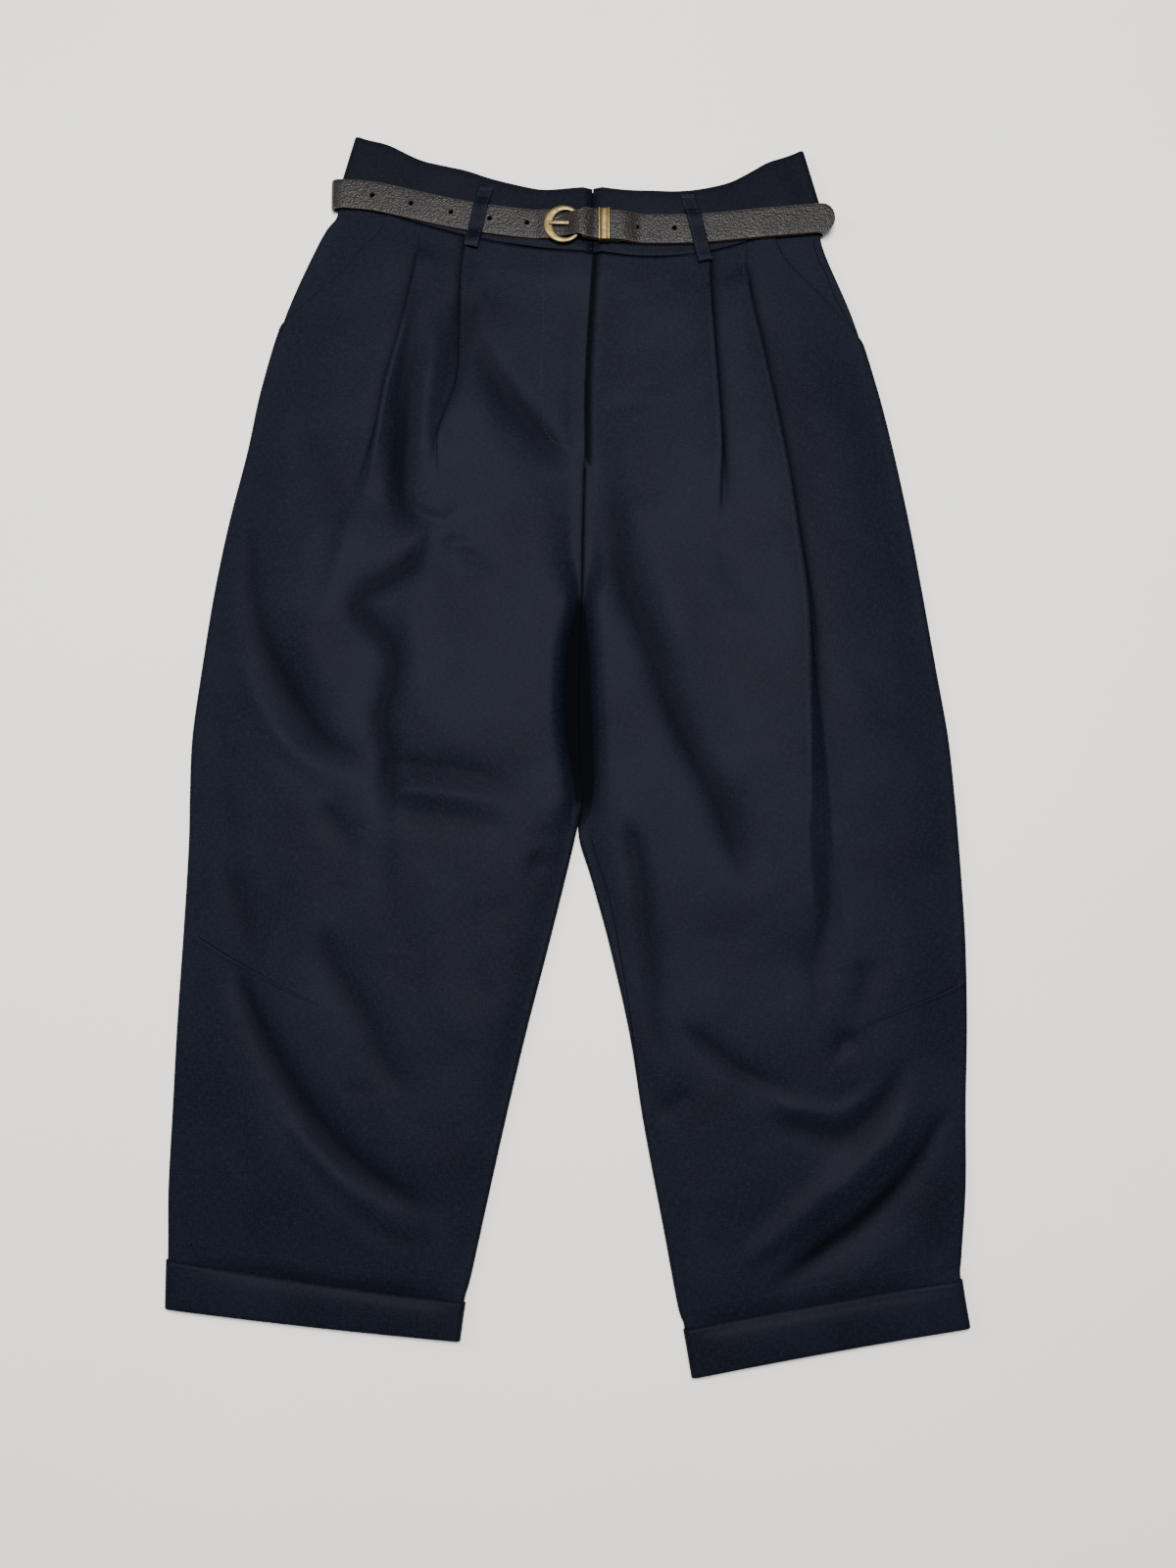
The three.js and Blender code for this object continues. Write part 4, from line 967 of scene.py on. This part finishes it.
def makeCuff(leg):
    last = len(leg.stations) - 1
    run = math.hypot(*(leg.stations[last, [2, 3]] - leg.stations[last - 1, [2, 3]]))
    profile = cuffProfile()
    row = rowsAt(leg, last - profile[:, 0] / run)
    offset, gape = profile[:, [1]], cuffs["gape"] * profile[:, [2]]
    rings = []
    top = np.arange(64)[None, :] / 64
    uneven = 1 + 0.35 * np.sin(top * 7.3 + leg.seed) + 0.2 * np.sin(top * 17 + leg.seed)
    rings.append(frontPoint(leg, row, row.width * top, offset + gape * np.sin(math.pi * top) * uneven))
    rings.append(edgePoint(leg, row, "outer", rollLength * np.arange(10)[None, :] / 10, offset))
    distance = row.width * (1 - np.arange(24)[None, :] / 24)
    x, y = spotAt(row, distance)
    rings.append(np.stack(np.broadcast_arrays(x, y, row.back - offset + 0 * x, 0 * x), axis=-1))
    rings.append(edgePoint(leg, row, "inner", rollLength * (1 - np.arange(11)[None, :] / 10), offset))
    grid = np.concatenate(rings, axis=1)[..., :3]
    grid = np.concatenate([grid, grid[:1]], axis=0)
    grid[:, -1] = grid[:, 0]
    if leg.side == "right":
        grid = grid[:, ::-1]
    obj = gridPiece(f"turnup_{leg.side}", grid, closed=True, outward=True)
    return finishPiece(obj, [f"cuff_{leg.side}"], navyShadedTurnUp)


turnUps = forBoth(makeCuff)
print("turn-ups made")


restGap = 0.3      # between pieces that lie on each other
belt = {
    "width": 22,
    "thick": 2.0,
    "turn": 2.3,
    "corner": 0.7,
    "tip": 200,
    "tipLength": 9,
    "foldBackEnd": 41,
    "barX": 8,
    "passX": 1,
    "backLevel": 2.3,
    "backDip": 13,
    "wrapWidth": 12,
    "passWidth": 17.6,
}
rightTurn = (-171.5, 411.5)
leftTurn = (187.5, 392)
beltLine = [[-178, 412], [-146, 410], [-117, 403], [-87, 396], [-58, 391], [-25, 387], [28, 385], [60, 382.5],
            [99, 383], [147, 388], [191, 392], [204, 393]]
ring = {
    "x": -3, "outerX": 14.5, "outerY": 14.2, "innerX": 9.6, "innerY": 10.3, "shift": 1.8, "bar": 1.2,
}
keeper = {"x": 27.5, "length": 8.4, "reach": 12.4, "wall": 0.9, "corner": 1.4, "border": 1.1}


def beltY(x):
    return lookUp(beltLine, x, 7.0)


# The belt's line at the back, by the share of the way from the left turn to the right one
def backBeltY(share):
    return blend(leftTurn[1], rightTurn[1], share) - belt["backDip"] * 4 * share * (1 - share)


def beltPath():
    points = []
    half = belt["thick"] / 2
    first = restGap + half
    raised = first + keeper["wall"] + restGap
    wrap = ring["bar"] + 0.7 + half
    barCentre = raised + wrap

    def front(x, above):
        points.append((x, float(beltY(x)), float(bandTop(x)) + above))

    front(belt["foldBackEnd"], raised)
    front(24, raised)
    front(belt["barX"] + 3, barCentre - wrap)
    for degrees in (-90, -112, -135, -158, 180, 158, 135, 112, 90):
        angle = math.radians(degrees)
        front(belt["barX"] + wrap * math.cos(angle), barCentre + wrap * math.sin(angle))
    wrapEnd = len(points)
    front(belt["barX"] + 4, barCentre + wrap - 0.6)
    front(18, raised + belt["turn"])
    front(40, raised + belt["turn"])
    for x in range(52, 180, 14):
        front(x, first)

    def turn(at, outward, start):
        radius = (float(bandTop(at[0])) + first - belt["backLevel"]) / 2
        for k in range(9):
            angle = start * (1 - k / 4)
            points.append((at[0] + outward * radius * math.cos(angle), at[1],
                           belt["backLevel"] + radius * (1 + math.sin(angle))))

    turn(leftTurn, 1, math.pi / 2)
    for share in np.arange(1, 12) / 12:
        points.append((blend(leftTurn[0], rightTurn[0], share), backBeltY(share), belt["backLevel"]))
    turn(rightTurn, -1, -math.pi / 2)
    for x in range(-160, -30, 16):
        front(x, first)
    front(-24, first)
    over = barCentre + wrap + belt["turn"]
    under = barCentre - ring["bar"] - restGap - half
    passFrom = len(points)
    upper = raised + 2 * belt["turn"]
    for x, above in ((-17, under), (-4, under + 0.2), (1, blend(under, over, 0.3)),
                     (5, blend(under, over, 0.72)), (9.5, over), (14, over - 0.6), (20, upper + 0.5),
                     (25, upper), (42, upper)):
        front(x, above)
    for x in (54, 68, 84, 100, 116, 132, 148, 164, 180, 190, 194, 197, 199, belt["tip"]):
        front(x, first + belt["turn"])
    return np.array(points), wrapEnd, passFrom, barCentre, raised


# Rounded section of a strap, going round from its upper left
def roundedSection(width, thickness, corner, perCorner=4, crown=0.0, flat=8):
    halfW, halfT = width / 2, thickness / 2
    corner = min(corner, halfT * 0.98, halfW * 0.98)
    points = []
    for cx, cy, start in ((halfW - corner, halfT - corner, 0), (-halfW + corner, halfT - corner, 90),
                          (-halfW + corner, -halfT + corner, 180), (halfW - corner, -halfT + corner, 270)):
        for angle in np.radians(np.linspace(start, start + 90, perCorner)):
            points.append((cx + corner * math.cos(angle), cy + corner * math.sin(angle)))
        if start in (0, 180) and flat:
            sign = 1 if start == 0 else -1
            for s in np.linspace(1, -1, flat + 2)[1:-1]:
                points.append((sign * s * (halfW - corner), sign * (halfT + crown * (1 - s * s))))
    return np.array(points)


# Repeats the first column, and the first row too where the rows close into a ring
def wrapped(grid, ring=False):
    grid = np.concatenate([grid, grid[:, :1]], axis=1)
    return np.concatenate([grid, grid[:1]], axis=0) if ring else grid


# Sweeps a section along a path whose width may change
def sweepPiece(name, path, lateral, sectionAt, joined=False, marks=None):
    rows = []
    for i, point in enumerate(path):
        before = path[i - 1] if i or joined else path[0]
        after = path[(i + 1) % len(path)] if i < len(path) - 1 or joined else path[-1]
        along = (after - before) / np.linalg.norm(after - before)
        side = lateral - along * float(np.dot(lateral, along))
        side /= np.linalg.norm(side)
        normal = np.cross(along, side)
        section = sectionAt(i)
        rows.append(point + section[:, [0]] * side + section[:, [1]] * normal)
    return gridPiece(name, wrapped(np.array(rows), joined), True, not joined, outward=True, marks=marks)


def makeBelt():
    points, wrapEnd, passFrom, barCentre, raised = beltPath()
    fine, owners = smoothPath(points, 2.2)
    fine[:, 2] = np.maximum(fine[:, 2], belt["thick"] / 2 + 0.05)

    def sectionAt(i):
        x = fine[i][0]
        width = belt["width"]
        if owners[i] < wrapEnd:
            width = blend(belt["wrapWidth"], width, smoothStep(abs(x - belt["barX"]), 6, 16))
        elif owners[i] >= passFrom - 1:
            width = blend(belt["passWidth"], width, smoothStep(abs(x - belt["passX"]), 6, 13))
            into = np.clip((x - belt["tip"] + belt["tipLength"]) / (belt["tipLength"] + 0.25), 0, 1)
            width = width * math.sqrt(1 - into * into)
        return roundedSection(float(width), belt["thick"], belt["corner"], crown=0.12)

    order = roundedSection(belt["width"], belt["thick"], belt["corner"])[:, 0]
    order = np.append(order, order[0])
    rim = np.clip(1.2 - (belt["width"] / 2 - abs(order)) / 0.9, 0, 1) + np.zeros((len(fine), 1))
    obj = sweepPiece("belt_leather", fine, np.array([0.0, 1.0, 0.0]), sectionAt, marks={"rim": rim})
    finishPiece(obj, ["belt_strap"], brown)
    return obj, barCentre, raised


beltPiece, barCentre, raised = makeBelt()


# The frame: a round horseshoe, broad at the left, closed by its bar
def makeRing():
    start = math.acos((belt["barX"] + ring["bar"] - ring["x"]) / ring["outerX"])
    sections = []
    for k in range(61):
        angle = blend(start, 2 * math.pi - start, k / 60)
        outer = np.array([ring["outerX"] * math.cos(angle), ring["outerY"] * math.sin(angle)])
        limit = belt["barX"] - ring["bar"] - ring["x"] - 0.2
        inner = np.array([ring["shift"] + ring["innerX"] * math.cos(angle), ring["innerY"] * math.sin(angle)])
        inner[0] = min(inner[0], limit)
        middle, half = (outer + inner) / 2, (outer - inner) / 2
        loop = []
        for turn in np.linspace(0, 2 * math.pi, 17)[:-1]:
            swing, up = math.cos(turn), math.sin(turn)
            bulge = np.sign(swing) * abs(swing) ** 0.75
            spot = middle + half * bulge
            loop.append((spot[0], spot[1], ring["bar"] * np.sign(up) * abs(up) ** 0.8))
        sections.append(loop)
    grid = wrapped(np.array(sections), ring=True)
    x = ring["x"]
    grid += (x, float(beltY(x)) - 0.6, float(bandTop(x)) + barCentre)
    obj = gridPiece("buckle_ring", grid, closed=True, outward=True)
    finishPiece(obj, ["buckle_frame"], antique)


prong = {"from": -14.2, "to": 1.6, "length": 15.8, "width": 2.8, "thick": 1.3}


def makeProng():
    z = float(bandTop(ring["x"])) + barCentre + ring["bar"] + restGap + prong["thick"] / 2
    y = float(beltY(0)) - 0.3
    xs = np.linspace(prong["from"], prong["to"], 22)
    arch = 0.25 * np.sin((xs - prong["from"]) / prong["length"] * math.pi)
    path = np.stack([xs, y + 0 * xs, z + arch], axis=-1)

    def sectionAt(i):
        share = i / 21
        tip = math.sqrt(max(0.02, 1 - max(0, 1 - share / 0.13) ** 2))
        width = blend(0.85, 1.0, share) * prong["width"] * tip
        return roundedSection(width, prong["thick"] * tip, 0.6, flat=3)

    obj = sweepPiece("buckle_tongue", path, np.array([0.0, 1.0, 0.0]), sectionAt)
    finishPiece(obj, ["buckle_prong"], antique)


# The keeper: a thin metal band with raised borders, right round the layers of the strap
def makeKeeper():
    high = raised + 2 * belt["turn"] + belt["thick"] / 2 + restGap + keeper["wall"]
    low = restGap
    loop = roundedSection(2 * keeper["reach"], high - low, keeper["corner"], perCorner=6, flat=0)
    loop[:, 1] += (high + low) / 2
    after, before = np.roll(loop, -1, axis=0), np.roll(loop, 1, axis=0)
    run = after - before
    normals = np.stack([run[:, 1], -run[:, 0]], axis=-1) / np.linalg.norm(run, axis=1, keepdims=True)
    half, wall, border = keeper["length"] / 2, keeper["wall"], keeper["border"]
    side = [(-half, -wall), (-half, -0.15), (-half + 0.15, 0.12), (-half + 0.5, 0.25), (-half + border, 0.2),
            (-half + border + 0.25, -0.25)]
    profile = side + [(0, -0.22)] + [(-across, out) for across, out in side[::-1]]
    rows = []
    for (cy, cz), (ny, nz) in zip(loop, normals):
        rows.append([(across, cy + ny * out, cz + nz * out) for across, out in profile])
    grid = wrapped(np.array(rows), ring=True)
    grid += (keeper["x"], float(beltY(keeper["x"])), float(bandTop(keeper["x"])))
    obj = gridPiece("keeper_brass", grid, closed=True, outward=True)
    finishPiece(obj, ["belt_keeper"], antique)


makeRing()
makeProng()
makeKeeper()
print("belt and buckle made")


loops = {"width": 11, "wall": 1.0, "ease": 1, "ramp": 4.5, "footRise": 4.2, "reachBack": 21}
frontLoops = [
    ("right", (-61, 417), (-72, 369), 1),
    ("left", (90, 411), (103, 358), 2),
]
backLoops = [("right", -112), ("centre", 8), ("left", 126)]


def makeLoop(name, stops, node):
    path, _ = smoothPath(stops, 1.2)
    path[:, 2] = np.maximum(path[:, 2], min(stop[2] for stop in stops))

    def sectionAt(i):
        return roundedSection(loops["width"], loops["wall"], 0.45, flat=4)

    obj = sweepPiece(name, path, np.array([1.0, 0.0, 0.0]), sectionAt)
    return finishPiece(obj, [node], navyShadedBand)


loopPieces = []
for side, top, foot, straps in frontLoops:
    slope = (foot[0] - top[0]) / (foot[1] - top[1])
    middle = float(beltY((top[0] + foot[0]) / 2))
    low = restGap + loops["wall"] / 2
    over = restGap + straps * belt["turn"] + loops["wall"] / 2
    foreLevel = low + loops["footRise"]
    edge = belt["width"] / 2
    stops = []
    levels = [(top[1], low), (middle + edge + loops["ramp"], low), (middle + edge + loops["ease"], over),
              (middle, over + 0.2), (middle - edge - loops["ease"], over),
              (middle - edge - loops["ramp"], foreLevel), (foot[1], foreLevel)]
    for y, above in levels:
        x = top[0] + (y - top[1]) * slope
        stops.append((x, y, float(bandTop(x)) + above))
    loopPieces.append(makeLoop(f"loop_front_{side}", stops, f"belt_loop_front_{side}"))
for side, x in backLoops:
    share = (x - leftTurn[0]) / (rightTurn[0] - leftTurn[0])
    middle = backBeltY(share)
    high = band["backLevel"] - band["clear"] - restGap - loops["wall"] / 2
    edge = belt["width"] / 2
    stops = [(x, middle + loops["reachBack"], high), (x, middle + edge + loops["ramp"], high),
             (x, middle + edge + loops["ease"], 0.5), (x, middle - edge - loops["ease"], 0.5),
             (x, middle - edge - loops["ramp"], high), (x, middle - loops["reachBack"], high)]
    loopPieces.append(makeLoop(f"loop_back_{side}", stops, f"belt_loop_back_{side}"))
print("loops made")


def surfaceOf(objects):
    verts, faces = [], []
    for obj in objects:
        shift = len(verts)
        verts += [vert.co.copy() for vert in obj.data.vertices]
        faces += [[shift + k for k in polygon.vertices] for polygon in obj.data.polygons]
    return BVHTree.FromPolygons(verts, faces)


def dropOnto(tree, x, y):
    spot = toMetres([x, y, 60.0])
    hit, normal, _, _ = tree.ray_cast(Vector(spot), Vector((0, 0, -1)))
    return hit, normal


# Stitches: the waistband's two rows stand above its seam, a loop's two rows beside its middle
seams = {"stitch": 2.4, "pitch": 3.4, "thick": 0.42, "rows": [2.6, 7.4], "beside": 4.0}


def addStitches(name, paths, surface, lift=0.45, pitch=seams["pitch"], stitch=seams["stitch"],
                thick=seams["thick"]):
    bm = bmesh.new()
    for path in paths:
        line, _ = smoothPath(path, 2)
        run = lengthOf(line)
        for s in np.arange(pitch / 2, run[-1], pitch):
            jitter = chance.normal(0, 0.10, 2)
            x, y = (np.interp(s, run, line[:, k]) + jitter[k] for k in range(2))
            nextX, nextY = (np.interp(s + 0.5, run, line[:, k]) + jitter[k] for k in range(2))
            hit, normal = dropOnto(surface, x, y)
            if hit is None:
                continue
            ahead = Vector((nextX - x, nextY - y, 0)).normalized()
            ahead = (ahead - normal * ahead.dot(normal)).normalized()
            side = normal.cross(ahead)
            turn = Matrix((ahead, side, normal)).transposed().to_4x4()
            turn.translation = hit + normal * lift * 0.001
            size = Matrix.Diagonal((stitch / 2 * 0.001, thick / 2 * 0.001, thick / 2 * 0.001, 1))
            bmesh.ops.create_uvsphere(bm, u_segments=6, v_segments=4, radius=1.0,
                                      matrix=turn @ size @ Matrix.Rotation(math.pi / 2, 4, "Y"))
    obj = newObject(name, bm)
    finishPiece(obj, (), navyThread)


clothTop = surfaceOf([fronts["right"], fronts["left"], bearers["right"], bearers["left"]])
bandSurface = surfaceOf([bandFronts["right"], bandFronts["left"]])
loopSurface = surfaceOf(loopPieces[:2])
beltSurface = surfaceOf([beltPiece])

# Across a seam: share of its width, height and painted shade
pressed = ((0, 0.40, 0), (0.5, 0.75, 0), (0.78, 0.80, 0), (0.9, 0.6, 0.8), (1, 0.42, 1))
thin = ((0, 0.40, 0.6), (0.5, 0.50, 1), (1, 0.40, 0.6))


def seamEnds(share):
    return float(smoothStep(share, 0, 0.06) * (1 - smoothStep(share, 0.9, 1)))


# A seam or a pressed edge: a narrow strip on the cloth, raised along its middle, with painted shade on one
# side
def addSeam(name, line, width, endWidth, profile=pressed):
    points, _ = smoothPath(line, 2)
    ahead = np.gradient(points, axis=0)
    ahead = ahead / np.linalg.norm(ahead, axis=1)[:, None]
    share = np.linspace(0, 1, len(points))[:, None]
    wide = blend(width, endWidth, share)
    rows = []
    for part, lift, dark in profile:
        x = points[:, [0]] - ahead[:, [1]] * wide * (part - 0.5)
        y = points[:, [1]] + ahead[:, [0]] * wide * (part - 0.5)
        column = []
        for i in range(len(points)):
            hit, _ = dropOnto(clothTop, x[i, 0], y[i, 0])
            z = hit.z * 1000 + lift if hit else 1.0
            column.append([x[i, 0], y[i, 0], z, dark * seamEnds(share[i, 0])])
        rows.append(column)
    obj = gridPiece(name, np.array(rows).transpose(1, 0, 2))
    finishPiece(obj, (), navy)


waistSeam = [[-166, 407], [-116, 392], [-65, 376], [-14, 370], [19, 366], [59, 362], [96, 365], [129, 375],
             [162, 386], [186, 396]]


waistRows = [[[x, y + rise] for x, y in waistSeam] for rise in seams["rows"]]
flyStitch = [[-18, 366], [-18, 319], [-18, 248], [-15, 229], [-8, 221], [1, 218], [11, 215]]
addStitches("stitches_waist", waistRows, bandSurface, lift=0.1)
addSeam("dart_right", [[-272, -144], [-254, -155], [-232, -167], [-207, -180], [-179, -193]], 7, 1.5)
addSeam("dart_left", [[200, -219], [217, -207], [242, -197], [267, -188], [289, -178]], 1.5, 6)
inseam = [[15, -62], [21, -83], [29, -108], [36, -140], [43, -180], [49, -220], [54, -262]]
addSeam("inseam_left", inseam, 1.6, 1.0, thin)
sideSeam = [[184, 380], [186, 369], [194, 351], [202, 331], [212, 313], [220, 299]]
addSeam("side_seam_left", sideSeam, 1.2, 1.0, thin)
addStitches("stitches_fly", [flyStitch], clothTop)
addStitches("stitches_pleat", [[[131, 368], [132, 344]]], clothTop)
loopLines, barTacks = [], []
for _, top, foot, _ in frontLoops:
    for offset in (-seams["beside"], seams["beside"]):
        loopLines.append([[top[0] + offset, top[1] - 1], [foot[0] + offset, foot[1] + 1]])
    for end, step in ((top, -2), (foot, 2)):
        for row in (0, 1, 2):
            y = end[1] + step * (0.6 + row * 0.5)
            barTacks.append([[end[0] - 4.6, y], [end[0] + 4.6, y]])
addStitches("stitches_loops", loopLines, loopSurface, lift=0.05)
addStitches("bar_tacks", barTacks, loopSurface, pitch=1.4, stitch=1.6, thick=0.5, lift=0.05)


# Holes in the strap: a dark disc of painted shade and a pressed rim each
holes = {
    "places": [-146, -117, -87, -58, -30, 52, 80],
    "shadeDisc": 0.00175,       # this and the sizes below in metres
    "rim": 0.0024,
    "rimWidth": 0.0006,
    "rimRise": 0.00012,
    "above": 0.00016,
    "shade": ((0.0004, 0.0003, 0.0003, 1), (0.0012, 0.0009, 0.0008, 1)),
}


def makeHoles():
    rim, shadeDisc = bmesh.new(), bmesh.new()
    for x in holes["places"]:
        hit, _ = dropOnto(beltSurface, x, float(beltY(x)))
        at = Matrix.Translation(hit + Vector((0, 0, holes["above"])))
        bmesh.ops.create_circle(shadeDisc, cap_ends=True, radius=holes["shadeDisc"], segments=20, matrix=at)
        made = bmesh.ops.create_circle(rim, cap_ends=True, radius=holes["rim"], segments=20, matrix=at)
        face = made["verts"][0].link_faces[0]
        bmesh.ops.inset_individual(rim, faces=[face], thickness=holes["rimWidth"], depth=0.0)
        bmesh.ops.translate(rim, verts=face.verts[:], vec=(0, 0, holes["rimRise"]))
        bmesh.ops.delete(rim, geom=[face], context="FACES_ONLY")
    finishPiece(newObject("belt_hole_rims", rim), (), brownDark)
    dark = Finish("hole_shadow")
    color = dark.mixColor(dark.noise(dark.place(), 900.0), *holes["shade"])
    dark.shade(Base_Color=color, Roughness=0.9, Specular_IOR_Level=0.02)
    finishPiece(newObject("belt_hole_shade_discs", shadeDisc), (), dark.material)


makeHoles()
print("stitches made")


floor = {"size": 3.0, "pale": (0.80, 0.775, 0.725, 1), "paler": (0.84, 0.815, 0.77, 1)}


def makeFloor():
    bm = bmesh.new()
    bmesh.ops.create_grid(bm, x_segments=4, y_segments=4, size=floor["size"])
    obj = newObject("floor", bm)
    finish = Finish("pale_floor")
    patches = finish.noise(finish.place(), 5.0, 3.0)
    finish.shade(Base_Color=finish.mixColor(patches, floor["pale"], floor["paler"]), Roughness=0.75)
    obj.data.materials.append(finish.material)


makeFloor()
lights = [
    {"name": "key", "place": (0.05, 0.42, 2.2), "size": 0.85, "power": 108},
    {"name": "side", "place": (-1.8, 0.5, 1.3), "size": 1.2, "power": 24},
]
for light in lights:
    data = bpy.data.lights.new(light["name"], "AREA")
    data.size = light["size"]
    data.energy = light["power"]
    lamp = addObject(light["name"], data)
    lamp.location = light["place"]
    lamp.rotation_euler = (-Vector(light["place"])).to_track_quat("-Z", "Y").to_euler()
sky = {"color": (0.95, 0.97, 1.0, 1), "strength": 0.22}
world = bpy.data.worlds.new("studio")
world.use_nodes = True
background = world.node_tree.nodes["Background"]
background.inputs["Color"].default_value = sky["color"]
background.inputs["Strength"].default_value = sky["strength"]
bpy.context.scene.world = world

view = {"place": (0.0135, -0.1381, 1.2766), "tilt": 4.776, "lens": 40.0, "sensor": 36.0}
cameraData = bpy.data.cameras.new("camera")
cameraData.lens = view["lens"]
cameraData.sensor_width = view["sensor"]
cameraData.sensor_fit = "AUTO"
camera = addObject("camera", cameraData)
camera.location = view["place"]
camera.rotation_euler = (math.radians(view["tilt"]), 0, 0)
bpy.context.scene.camera = camera
print("floor, lights and camera set")
